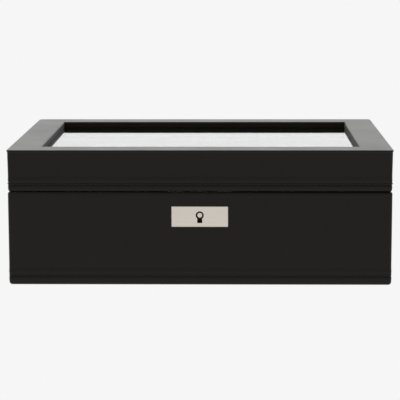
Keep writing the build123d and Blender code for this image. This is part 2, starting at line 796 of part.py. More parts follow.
jack = rod_y(jack_flange_radius, half_y, half_y + jack_flange, 0, jack_height)
jack += rod_y(jack_body_radius, half_y + jack_flange - jack_tail, half_y, 0, jack_height)
jack_face = half_y + jack_flange
jack -= rod_y(jack_bore_radius, jack_face - jack_bore_depth, jack_face + past, 0, jack_height)
keep("power_inlet", jack)

jack_end = half_y + jack_flange - jack_tail


def cable(points, radius, bend):
    """A round cable along straight runs joined by arcs."""
    path = FilletPolyline(*points, radius=bend)
    start = Plane(origin=path @ 0, z_dir=path % 0)
    return sweep(start * Circle(radius), path)


def on_slope(x, y, z):
    """A point given in the slope's frame."""
    return tuple((seat * Pos(x, y, z)).position)


inlet_cable = cable([(0, jack_end, jack_height), (0, jack_end - cable_run, jack_height),
                     on_slope(0, knob_rise, -circuit_depth - cable_drop),
                     on_slope(0, knob_rise, -circuit_depth)], cable_radius, cable_bend)
motor_x = winder_spacing / 2 - motor_offset
motor_top = gearbox_low + gearbox_length + motor_length
solder_x = circuit_width / 2 - solder_margin
wire_x = max(motor_x, circuit_width / 2 + motor_wire_gap)
wire_y = -motor_wire_side
wire_top = board_top + motor_wire_height
motor_wires = [cable([on_slope(way * x, wire_y, z) for x, z in (
    (wire_x, motor_top), (wire_x, wire_top), (solder_x, wire_top), (solder_x, board_top))],
    motor_wire_radius, motor_wire_bend) for way in (-1, 1)]
keep("wiring", Compound([inlet_cable, *motor_wires]))

# ---------------------------------------------------------------- write the pieces

os.makedirs("parts", exist_ok=True)
for name, shape in nodes.items():
    export_step(shape, f"parts/{name}.step")
print(len(nodes), "nodes")
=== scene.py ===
# %% [markdown]
# # A leather watch winder box
#
# The box is a fibreboard case wrapped in black leather, with a hinged lid that frames a pane of
# glass. Inside it holds two belt-driven winder drums on a sloped console, and a tray with five
# watch pillows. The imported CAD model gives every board, hinge, pulley and knob at its real size.
# This script adds what a CAD solid can't show: the soft leather wraps and their stitching, the
# suede and the stuffed pieces, and a finish for each material.

# %% Load the fixed frame
import json
import math

import bmesh
import bpy
import numpy as np
from mathutils import Matrix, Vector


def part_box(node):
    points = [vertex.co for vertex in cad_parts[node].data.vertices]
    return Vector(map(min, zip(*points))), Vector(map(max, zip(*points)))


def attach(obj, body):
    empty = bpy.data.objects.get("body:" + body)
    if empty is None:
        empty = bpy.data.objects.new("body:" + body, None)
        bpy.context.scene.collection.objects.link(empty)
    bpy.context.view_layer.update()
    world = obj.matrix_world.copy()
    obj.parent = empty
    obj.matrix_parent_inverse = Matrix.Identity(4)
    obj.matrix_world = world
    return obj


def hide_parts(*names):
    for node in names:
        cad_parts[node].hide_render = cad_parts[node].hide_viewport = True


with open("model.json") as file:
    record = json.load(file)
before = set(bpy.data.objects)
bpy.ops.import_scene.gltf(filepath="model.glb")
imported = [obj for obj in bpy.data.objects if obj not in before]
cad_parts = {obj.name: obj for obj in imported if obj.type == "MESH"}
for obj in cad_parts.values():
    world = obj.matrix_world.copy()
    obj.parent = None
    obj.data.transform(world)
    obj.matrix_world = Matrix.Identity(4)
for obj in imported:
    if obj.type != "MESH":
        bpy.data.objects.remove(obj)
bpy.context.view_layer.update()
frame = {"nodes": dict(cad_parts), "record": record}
nodes = frame["nodes"]

# %% [markdown]
# ## Sizes taken from the frame
#
# Every new piece takes its place from a CAD node, so the leather lies on its boards and the
# stitches lie on the leather. Only the sizes that belong to the needlework and to the soft rolls
# of the leather are set here, in metres.

# %% Places of the case and the lid
MM = 0.001
tray_play = 0.6 * MM
glass_hold = 6.0 * MM


def box_of(node):
    """A CAD node's low and high corners as arrays."""
    return tuple(np.array(corner, dtype=float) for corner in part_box(node))


base_low, base_high = box_of("base_leather")
lid_low, lid_high = box_of("lid_leather")
board_high = box_of("base_front_board")[1]
lining_low, lining_high = box_of("base_lining")
glass_high = box_of("lid_glass")[1]
felt_low, felt_high = box_of("base_felt")
tray_high = box_of("storage_tray")[1]
lid_lining_low, lid_lining_high = box_of("lid_lining")

half_width, half_depth = base_high[0], base_high[1]
leather = base_high[2] - board_high[2]
lip = lid_high[0] - half_width
wall = half_width - tray_high[0] - tray_play
board_depth = half_width - lining_high[0]
turn_in = base_high[2] - lining_high[2]
bar = half_width - (glass_high[0] - glass_hold)
print(f"leather {leather / MM:.2f} mm, wall {wall / MM:.2f} mm, frame bar {bar / MM:.2f} mm")

# %% [markdown]
# ## Surfaces from numbers
#
# Almost every new piece here is a grid of points that closes on itself: a section carried round
# a path. One function turns such a grid into a mesh with a UV map in metres, so that a pattern
# such as stitching can be measured along the piece.

# %% A grid of points becomes a mesh


def add_object(name, mesh):
    """A new object in the scene."""
    piece = bpy.data.objects.new(name, mesh)
    bpy.context.scene.collection.objects.link(piece)
    return piece


def grid_faces(grid, axis=-1):
    """The four corners of every face of a grid."""
    return np.stack([grid[:-1, :-1], grid[1:, :-1], grid[1:, 1:], grid[:-1, 1:]], axis=axis)


def ringed(values, axis=0):
    """The values with their first row repeated at the end, so that a line of them closes."""
    return np.concatenate([values, np.take(values, [0], axis=axis)], axis=axis)


def run_lengths(steps):
    """The distance travelled before each of a row of steps, and after the last."""
    return np.concatenate([[0.0], np.cumsum(steps)])


def surface(name, points):
    """A closed mesh over a grid of points.

    points[i, j] is the point at step i along the path and step j round the section. Each face
    joins (i, j), (i + 1, j), (i + 1, j + 1) and (i, j + 1). The UV map holds the distance along
    the outermost line of the path and the distance round the section, in metres.
    """
    rows, columns = points.shape[:2]
    index = ringed(ringed(np.arange(rows * columns).reshape(rows, columns)), axis=1)
    grid = ringed(ringed(points), axis=1)
    quads = grid_faces(index)
    along = run_lengths(np.linalg.norm(np.diff(grid, axis=0), axis=-1).max(axis=1))
    around = run_lengths(np.linalg.norm(np.diff(grid, axis=1), axis=-1).min(axis=0))
    uv = np.stack(np.meshgrid(along, around, indexing="ij"), axis=-1)
    corners = grid_faces(uv, axis=2)
    return quad_mesh(name, points.reshape(-1, 3), quads.reshape(-1, 4), corners.reshape(-1, 2))


def quad_mesh(name, points, quads, corner_uv=None):
    """An object from an array of points and an array of four-cornered faces."""
    mesh = bpy.data.meshes.new(name)
    mesh.vertices.add(len(points))
    mesh.vertices.foreach_set("co", np.ascontiguousarray(points, dtype=np.float32).ravel())
    mesh.loops.add(quads.size)
    mesh.loops.foreach_set("vertex_index", np.ascontiguousarray(quads, dtype=np.int32).ravel())
    mesh.polygons.add(len(quads))
    mesh.polygons.foreach_set("loop_start", np.arange(0, quads.size, 4, dtype=np.int32))
    mesh.update(calc_edges=True)
    if corner_uv is not None:
        layer = mesh.uv_layers.new(name="UVMap")
        layer.data.foreach_set("uv", np.ascontiguousarray(corner_uv, dtype=np.float32).ravel())
    mesh.polygons.foreach_set("use_smooth", np.ones(len(quads), dtype=bool))
    return add_object(name, mesh)


def settle(piece, body, finish=None, node=None):
    """Give a piece its finish and its body, and take the CAD node that it stands for away."""
    if finish is not None:
        piece.data.materials.append(finish)
    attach(piece, body)
    if node is not None:
        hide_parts(node)


def rounded_section(corners, spacing):
    """A closed section from corners (across, height, radius), with arcs and evenly spaced runs.

    An arc starts radius * tan(half the turn) before its corner. It is the rational quadratic curve
    from there, towards the corner with weight cos(half the turn), to the same distance after it,
    which is an exact circular arc.
    """
    pieces = []
    count = len(corners)
    places = np.array([corner[:2] for corner in corners])
    for step in range(count):
        here, before, after = places[step], places[step - 1], places[(step + 1) % count]
        way_in = (here - before) / np.linalg.norm(here - before)
        way_out = (after - here) / np.linalg.norm(after - here)
        turn = math.acos(float(np.clip(way_in @ way_out, -1, 1)))
        cut = corners[step][2] * math.tan(turn / 2)
        if cut < 1e-6:
            pieces.append(here[None, :])
            continue
        t = np.linspace(0, 1, 7)[:, None]
        weights = np.stack([(1 - t) ** 2, 2 * math.cos(turn / 2) * t * (1 - t), t ** 2])
        spots = np.stack([here - way_in * cut, here, here + way_out * cut])
        pieces.append((weights * spots[:, None, :]).sum(axis=0) / weights.sum(axis=0))
    outline = np.concatenate(pieces)
    runs = ringed(outline)
    dense = []
    for start, end in zip(runs[:-1], runs[1:]):
        parts = max(1, int(round(np.linalg.norm(end - start) / spacing)))
        dense.append(start + (end - start) * (np.arange(parts) / parts)[:, None])
    return np.concatenate(dense)


def frame_path(spacing, half_x, half_y, corner_steps=7):
    """A rounded rectangle as corner signs C and outward directions U: point = C * (half - r) + U * r."""
    signs, ways = [], []
    order = [(1, -1, -math.pi / 2), (1, 1, 0.0), (-1, 1, math.pi / 2), (-1, -1, math.pi)]
    for step, (sx, sy, start) in enumerate(order):
        turn = start + np.linspace(0, math.pi / 2, corner_steps)
        signs.append(np.tile([float(sx), float(sy)], (corner_steps, 1)))
        ways.append(np.stack([np.cos(turn), np.sin(turn)], axis=-1))
        after = order[(step + 1) % 4]
        length = 2 * (half_x if after[1] == sy else half_y)
        parts = int(length / spacing)
        t = (np.arange(1, parts) / parts)[:, None]
        signs.append(np.array([sx, sy]) * (1 - t) + np.array(after[:2]) * t)
        ways.append(np.tile(ways[-1][-1], (parts - 1, 1)))
    return np.concatenate(signs), np.concatenate(ways)


def carried_round(section, half_x, half_y, radius, spacing, least_radius=0.0008):
    """A section (inset, height) carried round a rounded rectangle: point = C * (half - r) + U * r."""
    signs, ways = frame_path(spacing, half_x, half_y)
    inset, height = section[:, 0], section[:, 1]
    corner = np.maximum(radius - inset, least_radius)
    half = np.stack([half_x - inset, half_y - inset], axis=-1) - corner[:, None]
    plan = signs[:, None, :] * half[None] + ways[:, None, :] * corner[None, :, None]
    tall = np.broadcast_to(height[None, :, None], plan.shape[:2] + (1,))
    return np.concatenate([plan, tall], axis=-1)


print("surface tools ready")

# %% [markdown]
# ## Shared shader effects
#
# Leather grain, the nap of suede and the brushing of metal are used by several finishes. Each is
# a node group that hands out plain numbers and heights, so a material keeps its own shader and the
# pattern can be baked.

# %% Helpers that build node trees


def add_node(tree, kind, inputs=None, **settings):
    """A node with its settings, and its input sockets set to numbers or linked to outputs."""
    node = tree.nodes.new(kind)
    for key, value in settings.items():
        setattr(node, key, value)
    for key, value in (inputs or {}).items():
        if isinstance(value, bpy.types.NodeSocket):
            tree.links.new(value, node.inputs[key])
        else:
            node.inputs[key].default_value = value
    return node


def maths(tree, operation, first, second=None, third=None):
    """One step of arithmetic on numbers or sockets."""
    values = {0: first}
    if second is not None:
        values[1] = second
    if third is not None:
        values[2] = third
    return add_node(tree, "ShaderNodeMath", values, operation=operation).outputs[0]


def noise(tree, place, scale, detail, **more):
    """A noise texture at a place."""
    return add_node(tree, "ShaderNodeTexNoise", {"Vector": place, "Scale": scale, "Detail": detail, **more})


def blend_colours(tree, factor, first, second):
    """A colour between two colours."""
    node = add_node(tree, "ShaderNodeMix", data_type="RGBA")
    for socket, value in zip((node.inputs[0], node.inputs[6], node.inputs[7]), (factor, first, second)):
        if isinstance(value, bpy.types.NodeSocket):
            tree.links.new(value, socket)
        else:
            socket.default_value = value
    return node.outputs[2]


def effect_group(name, inputs, outputs):
    """An empty shader group with number or vector inputs and outputs."""
    group = bpy.data.node_groups.new(name, "ShaderNodeTree")
    for label, kind, value in inputs:
        socket = group.interface.new_socket(label, in_out="INPUT", socket_type=kind)
        if value is not None:
            socket.default_value = value
    for label, kind in outputs:
        group.interface.new_socket(label, in_out="OUTPUT", socket_type=kind)
    start = group.nodes.new("NodeGroupInput")
    end = group.nodes.new("NodeGroupOutput")
    return group, start, end


def new_finish(name, **sockets):
    """A material with a Principled shader, its uniform values set on the shader's own sockets."""
    finish = bpy.data.materials.new(name)
    finish.use_nodes = True
    tree = finish.node_tree
    shader = tree.nodes["Principled BSDF"]
    for key, value in sockets.items():
        shader.inputs[key.replace("_", " ")].default_value = value
    place = add_node(tree, "ShaderNodeTexCoord").outputs["Object"]
    return finish, tree, shader, place


def use_group(tree, group, **inputs):
    """One use of a shared effect."""
    node = tree.nodes.new("ShaderNodeGroup")
    node.node_tree = group
    for key, value in inputs.items():
        key = key.replace("_", " ")
        if isinstance(value, bpy.types.NodeSocket):
            tree.links.new(value, node.inputs[key])
        else:
            node.inputs[key].default_value = value
    return node


def mingle(tree, first, share, second):
    """Two numbers added by their shares: share * first + (1 - share) * second."""
    return maths(tree, "MULTIPLY_ADD", first, share, maths(tree, "MULTIPLY", second, round(1 - share, 6)))


def paint(tree, shader, factor, dark, light):
    """The base colour, between two colours."""
    tree.links.new(blend_colours(tree, factor, dark, light), shader.inputs["Base Color"])


def roughen(tree, shader, factor, spread, least):
    """The roughness: least + spread * factor."""
    tree.links.new(maths(tree, "MULTIPLY_ADD", factor, spread, least), shader.inputs["Roughness"])


def raise_surface(tree, shader, height, strength, distance):
    """Bump from a height, fed to the shader's normal."""
    bump = add_node(tree, "ShaderNodeBump", {"Height": height, "Strength": strength, "Distance": distance})
    tree.links.new(bump.outputs[0], shader.inputs["Normal"])


print("node helpers ready")

# %% The effects themselves
FLOAT, VECTOR = "NodeSocketFloat", "NodeSocketVector"

grain, start, end = effect_group("leather_grain", [("Place", VECTOR, None), ("Size", FLOAT, 900.0)],
                                 [("Height", FLOAT), ("Crease", FLOAT), ("Cloud", FLOAT)])
warp = noise(grain, start.outputs["Place"], 260.0, 2.0)
shift = add_node(grain, "ShaderNodeVectorMath", {0: warp.outputs["Color"], 1: (0.0012, 0.0012, 0.0012)},
                 operation="MULTIPLY")
bent = add_node(grain, "ShaderNodeVectorMath", {0: start.outputs["Place"], 1: shift.outputs[0]},
                operation="ADD")
pebble = add_node(grain, "ShaderNodeTexVoronoi", feature="DISTANCE_TO_EDGE",
                  inputs={"Vector": bent.outputs[0], "Scale": start.outputs["Size"]})
crease = maths(grain, "SMOOTH_MIN", pebble.outputs["Distance"], 0.22, 0.12)
pores = noise(grain, start.outputs["Place"], 2600.0, 3.0)
cloud = noise(grain, start.outputs["Place"], 22.0, 4.0)
height = maths(grain, "MULTIPLY_ADD", pores.outputs["Fac"], 0.10, crease)
grain.links.new(height, end.inputs["Height"])
grain.links.new(maths(grain, "MULTIPLY", crease, 4.5), end.inputs["Crease"])
grain.links.new(cloud.outputs["Fac"], end.inputs["Cloud"])

nap, start, end = effect_group("suede_nap", [("Place", VECTOR, None)],
                               [("Height", FLOAT), ("Shade", FLOAT)])
fibre = noise(nap, start.outputs["Place"], 3200.0, 4.0)
brushed = noise(nap, start.outputs["Place"], 45.0, 5.0, Distortion=1.2)
nap.links.new(fibre.outputs["Fac"], end.inputs["Height"])
nap.links.new(mingle(nap, fibre.outputs["Fac"], 0.35, brushed.outputs["Fac"]),
              end.inputs["Shade"])

brushing, start, end = effect_group(
    "brushed_lines", [("Place", VECTOR, None), ("Stretch", VECTOR, (1.0, 1.0, 1.0))],
    [("Line", FLOAT), ("Smudge", FLOAT)])
pulled = add_node(brushing, "ShaderNodeVectorMath", operation="MULTIPLY",
                  inputs={0: start.outputs["Place"], 1: start.outputs["Stretch"]})
line = noise(brushing, pulled.outputs[0], 60.0, 6.0)
smudge = noise(brushing, start.outputs["Place"], 70.0, 3.0)
brushing.links.new(line.outputs["Fac"], end.inputs["Line"])
brushing.links.new(smudge.outputs["Fac"], end.inputs["Smudge"])
print("effects:", [group.name for group in (grain, nap, brushing)])

# %% [markdown]
# ## Leather
#
# The covering is a split hide with a fine printed pebble grain and a semi-matt top coat. Black
# leather reflects very little straight on, yet the lid's frame looks pale grey when it is seen
# at a low angle, because the coat mirrors the room behind it. A low diffuse colour with a real
# Fresnel shader gives both from one material.

# %% Black grained leather
# The warm Specular Tint is a painted reflection colour: it warms whatever the leather's coat mirrors.
leather_finish, tree, shader, place = new_finish("black_leather", Specular_IOR_Level=0.235, IOR=1.45,
                                                 Specular_Tint=(1.0, 0.93, 0.84, 1.0))
hide = use_group(tree, grain, Place=place, Size=820.0)
tone = mingle(tree, hide.outputs["Cloud"], 0.6, hide.outputs["Crease"])
paint(tree, shader, tone, (0.0036, 0.0033, 0.0031, 1), (0.0105, 0.0097, 0.0089, 1))
roughen(tree, shader, hide.outputs["Cloud"], 0.10, 0.26)
raise_surface(tree, shader, hide.outputs["Height"], 0.26, 0.00030)

# %% [markdown]
# The stitched bands use the same hide, with the needle holes and the pull of each stitch drawn
# on the wrap's own UV map: its first coordinate is the distance round the box, so one sine of
# that distance, with one wave to a stitch, puts a hole at each end of each stitch. The holes are
# dented by a bump and darkened with painted shade.

# %% Leather with needle holes along a seam
hole_radius_inner, hole_radius_outer = 0.0007, 0.0015


def stitched_leather(name, seam, pitch):
    """Leather whose UV v distance to the seam and u phase within a stitch make needle holes: dented, and
    darkened with painted shade.
    """
    finish = leather_finish.copy()
    finish.name = name
    tree = finish.node_tree
    shader = tree.nodes["Principled BSDF"]
    uv = add_node(tree, "ShaderNodeUVMap", uv_map="UVMap")
    split = add_node(tree, "ShaderNodeSeparateXYZ", {0: uv.outputs[0]})
    phase = maths(tree, "FRACT", maths(tree, "DIVIDE", split.outputs[0], pitch))
    along = maths(tree, "MULTIPLY", maths(tree, "PINGPONG", phase, 0.5), pitch)
    across = maths(tree, "ABSOLUTE", maths(tree, "SUBTRACT", split.outputs[1], seam))
    squares = (maths(tree, "POWER", along, 2.0), maths(tree, "POWER", across, 2.0))
    reach = maths(tree, "SQRT", maths(tree, "ADD", *squares))
    hole = add_node(tree, "ShaderNodeMapRange", interpolation_type="SMOOTHSTEP",
                    inputs={"Value": reach, "From Min": hole_radius_inner, "From Max": hole_radius_outer,
                            "To Min": 0.0, "To Max": 1.0}).outputs[0]
    old_colour = shader.inputs["Base Color"].links[0].from_socket
    # The holes' near-black colour is painted shade inside the needle holes.
    paint(tree, shader, hole, (0.0008, 0.0008, 0.0008, 1), old_colour)
    bump = shader.inputs["Normal"].links[0].from_node
    puff = add_node(tree, "ShaderNodeBump", {"Height": hole, "Strength": 0.8, "Distance": 0.0006,
                                             "Normal": bump.outputs[0]})
    tree.links.new(puff.outputs[0], shader.inputs["Normal"])
    return finish


print("leather ready")

# %% [markdown]
# ## The leather wraps
#
# On the bench each wrap is a strip of hide glued round the boards: over the rim, down the
# outside, under the edge, and turned in on the inside. Its section is drawn once, in distance
# inwards from the face and height, and carried round the box. Along the stitch line the thread
# pulls the hide into a shallow groove and the padding swells above and below it.

# %% Sewing sizes
stitch_pitch = 4.9 * MM
base_stitch_height = base_low[2] + 9.4 * MM
lid_stitch_height = lid_low[2] + 6.8 * MM
thread_radius = 0.36 * MM
groove_depth = 0.34 * MM
groove_width = 0.9 * MM
swell_height = 0.22 * MM
swell_width = 3.2 * MM
plan_radius = 3.2 * MM
rim_radius = 1.3 * MM
foot_radius = 2.8 * MM
lid_taper = 0.55 * MM
crown = 0.5 * MM
fold = 0.3 * MM
inner_rim_radius = 1.4 * MM
lip_radius, lip_height, lip_slope = 0.7 * MM, 1.3 * MM, 0.8 * MM
section_spacing, round_spacing = 1.2 * MM, 4 * MM
base_outer_limit, lid_outer_limit = 0.8 * MM, 1.1 * MM
small_fold, window_edge_radius = 0.2 * MM, 1.7 * MM
crisp = math.radians(40)


def crowned(section, level, way):
    """Lift a section's rim: height + way * crown * sin(pi * sqrt(inset / wall))^2 at the level.

    The root puts the crest near the outer face, in front of the plates that are let into the rim.
    """
    moved = section.copy()
    on_rim = np.abs(section[:, 1] - level) < 0.2 * MM
    lift = way * crown * np.sin(math.pi * np.sqrt(np.clip(section[:, 0] / wall, 0, 1))) ** 2
    moved[:, 1] += np.where(on_rim, lift, 0.0)
    return moved


def pulled_in(section, stitch_height, outer_limit):
    """Add the groove and the swell to the outer face of a section.

    inset = inset + depth * exp(-(dz / width)^2) - swell * (dz / reach)^2 * exp(1 - (dz / reach)^2)
    where dz is the height above the stitch line, on points whose inset is under outer_limit.
    """
    rise = section[:, 1] - stitch_height
    groove = groove_depth * np.exp(-(rise / groove_width) ** 2)
    swell = swell_height * (rise / swell_width) ** 2 * np.exp(1 - (rise / swell_width) ** 2)
    outer = section[:, 0] < outer_limit
    moved = section.copy()
    moved[:, 0] += np.where(outer, groove - swell, 0.0)
    return moved


def stitch_line_v(section, stitch_height, outer_limit):
    """The distance round a section at which its outer face passes the stitch line."""
    closed = ringed(section)
    around = run_lengths(np.linalg.norm(np.diff(closed, axis=0), axis=1))[:-1]
    outer = section[:, 0] < outer_limit
    nearest = int(np.argmin(np.where(outer, np.abs(section[:, 1] - stitch_height), 1.0)))
    climb = np.sign(closed[nearest + 1, 1] - closed[nearest, 1])
    return float(around[nearest] + climb * (stitch_height - section[nearest, 1]))


# %% The case's wrap
felt_play = 0.3 * MM
under_margin = half_width - felt_high[0] - felt_play
underside = felt_high[2]
base_corners = [
    (under_margin, base_low[2], fold),
    (under_margin, underside, 0.0),
    (leather, underside, fold),
    (leather, base_high[2] - leather, fold),
    (board_depth, base_high[2] - leather, small_fold),
    (board_depth, base_high[2] - turn_in, 0.0),
    (wall, base_high[2] - turn_in, fold),
    (wall, base_high[2], inner_rim_radius),
    (0.0, base_high[2], rim_radius),
    (0.0, base_low[2], foot_radius),
]
base_section = crowned(rounded_section(base_corners, section_spacing), base_high[2], 1)
base_section = pulled_in(base_section, base_stitch_height, base_outer_limit)
base_wrap = surface("base_leather_wrap",
                    carried_round(base_section, half_width, half_depth, plan_radius, round_spacing))
print("case wrap faces", len(base_wrap.data.polygons))

# %% The lid's wrap
lid_corners = [
    (wall, lid_low[2] + turn_in, 0.0),
    (board_depth, lid_low[2] + turn_in, 0.0),
    (board_depth, lid_low[2] + leather, small_fold),
    (leather, lid_low[2] + leather, fold),
    (leather, lid_high[2] - leather, fold),
    (bar - leather, lid_high[2] - leather, fold),
    (bar - leather, glass_high[2], 0.0),
    (bar, glass_high[2] + 0.05 * MM, fold),
    (bar, lid_high[2], window_edge_radius),
    (-lip, lid_high[2], lip_radius),
    (-lip, lid_high[2] - lip_height, 0.4 * MM),
    (0.0, lid_high[2] - lip_height - lip_slope, 0.5 * MM),
    (lid_taper, lid_low[2], rim_radius),
    (wall, lid_low[2], inner_rim_radius),
]
lid_section = crowned(rounded_section(lid_corners[::-1], section_spacing)[::-1], lid_low[2], -1)
lid_section = pulled_in(lid_section, lid_stitch_height, lid_outer_limit)
lid_wrap = surface("lid_leather_wrap",
                   carried_round(lid_section, half_width, half_depth, plan_radius, round_spacing))
print("lid wrap faces", len(lid_wrap.data.polygons))

# %% [markdown]
# The inside of the window's frame is never handled or polished, so its hide stays duller. The same
# leather, with a rougher coat, goes on the faces between the frame's top and the glass.

# %% Duller hide round the glass
unpolished_leather = leather_finish.copy()
unpolished_leather.name = "unpolished_leather"
tree = unpolished_leather.node_tree
shader = tree.nodes["Principled BSDF"]
shader.inputs["Specular IOR Level"].default_value = 0.24
shader.inputs["Sheen Weight"].default_value = 0.14
shader.inputs["Sheen Roughness"].default_value = 0.6
rough = shader.inputs["Roughness"].links[0].from_socket
tree.links.new(maths(tree, "ADD", rough, 0.32), shader.inputs["Roughness"])


def recess_faces(piece):
    """Give the second material to faces that stand upright between the glass and the frame's top."""
    mesh = piece.data
    normals = np.empty(len(mesh.polygons) * 3)
    middles = np.empty(len(mesh.polygons) * 3)
    mesh.polygons.foreach_get("normal", normals)
    mesh.polygons.foreach_get("center", middles)
    normals, middles = normals.reshape(-1, 3), middles.reshape(-1, 3)
    window = np.array([half_width, half_depth]) - bar + 3 * MM
    within = (np.abs(middles[:, :2]) <= window).all(axis=1)
    inside = within & (middles[:, 2] > glass_high[2] - 0.5 * MM) & (np.abs(normals[:, 2]) < 0.6)
    mesh.polygons.foreach_set("material_index", inside.astype(np.int32))
    return int(inside.sum())


# %% [markdown]
# The lock plate, the hinge leaves and the power inlet are let into the leather. A boolean cuts
# their seats out of each wrap, with cutters taken from the CAD nodes' boxes.

# %% Cut the seats of the fittings


def box_points(low, high):
    """The eight corners of a box, and its six faces pointing outwards."""
    low, high = np.array(low), np.array(high)
    pick = np.array([[0, 0, 0], [1, 0, 0], [1, 1, 0], [0, 1, 0],
                     [0, 0, 1], [1, 0, 1], [1, 1, 1], [0, 1, 1]])
    quads = np.array([[0, 3, 2, 1], [4, 5, 6, 7], [0, 1, 5, 4], [1, 2, 6, 5], [2, 3, 7, 6], [3, 0, 4, 7]])
    return low + pick * (high - low), quads


def cut_seats(piece, boxes):
    """Subtract boxes from a piece and keep the result as its mesh, with crisp cut edges."""
    points, quads = zip(*(box_points(low, high) for low, high in boxes))
    offsets = np.arange(len(boxes)) * len(points[0])
    cutter = quad_mesh(piece.name + "_cutter", np.concatenate(points),
                       np.concatenate([q + shift for q, shift in zip(quads, offsets)]))
    modifier = piece.modifiers.new("seats", "BOOLEAN")
    modifier.operation = "DIFFERENCE"
    modifier.solver = "EXACT"
    modifier.object = cutter
    ready = finished_mesh(piece)
    piece.modifiers.clear()
    piece.data = ready
    bpy.data.objects.remove(cutter)
    ready.set_sharp_from_angle(angle=crisp)


def finished_mesh(piece):
    """The piece's mesh with its modifiers worked in."""
    return bpy.data.meshes.new_from_object(piece.evaluated_get(bpy.context.evaluated_depsgraph_get()))


def seat_of(node, grow):
    """A node's box, grown in plan, as a cutter."""
    low, high = box_of(node)
    return low - grow, high + grow


def half_of(box_pair, side):
    """The left or right hinge's share of a box that spans both hinges."""
    low, high = (v.copy() for v in box_pair)
    if side < 0:
        high[0] = low[0] + hinge_length + 2 * seat_gap
    else:
        low[0] = high[0] - hinge_length - 2 * seat_gap
    return low, high


seat_gap = 0.15 * MM
hinge_length = 50.0 * MM
base_hinge_seats = [half_of(seat_of("hinge_base_leaves", seat_gap), side) for side in (-1, 1)]
lid_hinge_seats = [half_of(seat_of("hinge_lid_leaves", seat_gap), side) for side in (-1, 1)]
plate_low, plate_high = box_of("lock_plate")
plate_cover, before_plate, behind_plate = 0.3 * MM, 1 * MM, 1.5 * MM
lock_seat = (plate_low + (plate_cover, -before_plate, plate_cover),
             plate_high + (-plate_cover, behind_plate, -plate_cover))
selvage_low, selvage_high = box_of("lock_case")
selvage_seat = ((selvage_low[0] - seat_gap, selvage_low[1] - seat_gap, board_high[2] - 0.5 * MM),
                selvage_high + (seat_gap, seat_gap, 1 * MM))
inlet_low, inlet_high = box_of("power_inlet")
inlet_flange, through = 2.2 * MM, 3 * MM
inlet_seat = ((inlet_low[0] + inlet_flange, base_high[1] - through, inlet_low[2] + inlet_flange),
              (inlet_high[0] - inlet_flange, base_high[1] + through, inlet_high[2] - inlet_flange))
catch_low, catch_high = box_of("lid_catch")
catch_seat = ((catch_low[0] - seat_gap, catch_low[1] - seat_gap, lid_low[2] - 1 * MM),
              catch_high + (seat_gap, seat_gap, 0.3 * MM))
cut_seats(base_wrap, [*base_hinge_seats, lock_seat, selvage_seat, inlet_seat])
cut_seats(lid_wrap, [*lid_hinge_seats, catch_seat])

outer_face = 2 * MM
for wrap, name, section, height in (
        (base_wrap, "case_leather", base_section, base_stitch_height),
        (lid_wrap, "lid_leather_finish", lid_section, lid_stitch_height)):
    line = stitch_line_v(section, height, outer_face)
    wrap.data.materials.append(stitched_leather(name, line, stitch_pitch))
lid_wrap.data.materials.append(unpolished_leather)
print("duller faces round the glass:", recess_faces(lid_wrap))
for piece, body, node in ((base_wrap, "case", "base_leather"), (lid_wrap, "lid", "lid_leather")):
    settle(piece, body, node=node)
print("wraps cut:", len(base_wrap.data.polygons), len(lid_wrap.data.polygons), "faces")

# %% [markdown]
# ## The thread
#
# A lockstitch shows as a row of short, slightly slanting dashes of bonded thread. Each dash dives
# into its needle holes, so its height above the leather is a half sine wave. All the dashes of a
# seam are one mesh: one small tube, repeated along the path as an array.

# %% Stitches along a seam
dash_share, dash_steps, thread_sides = 0.86, 8, 6
dash_stray, dash_slant, dash_shake = 0.12 * MM, 0.28 * MM, 0.05 * MM
thread_sink, thread_rise = 0.15 * MM, 0.62 * MM
dash_faces = (dash_steps - 1) * thread_sides + 4


def path_points(half_x, half_y, radius, distances):
    """Points and outward directions at given distances along a rounded rectangle."""
    signs, ways = frame_path(0.5 * MM, half_x, half_y, corner_steps=15)
    plan = signs * (np.array([half_x, half_y]) - radius) + ways * radius
    closed = ringed(plan)
    along = run_lengths(np.linalg.norm(np.diff(closed, axis=0), axis=1))
    turned = ringed(ways)
    x, y = (np.interp(distances % along[-1], along, closed[:, axis]) for axis in (0, 1))
    out = np.stack([np.interp(distances % along[-1], along, turned[:, axis]) for axis in (0, 1)], axis=-1)
    return np.stack([x, y], axis=-1), out / np.linalg.norm(out, axis=-1, keepdims=True), along[-1]


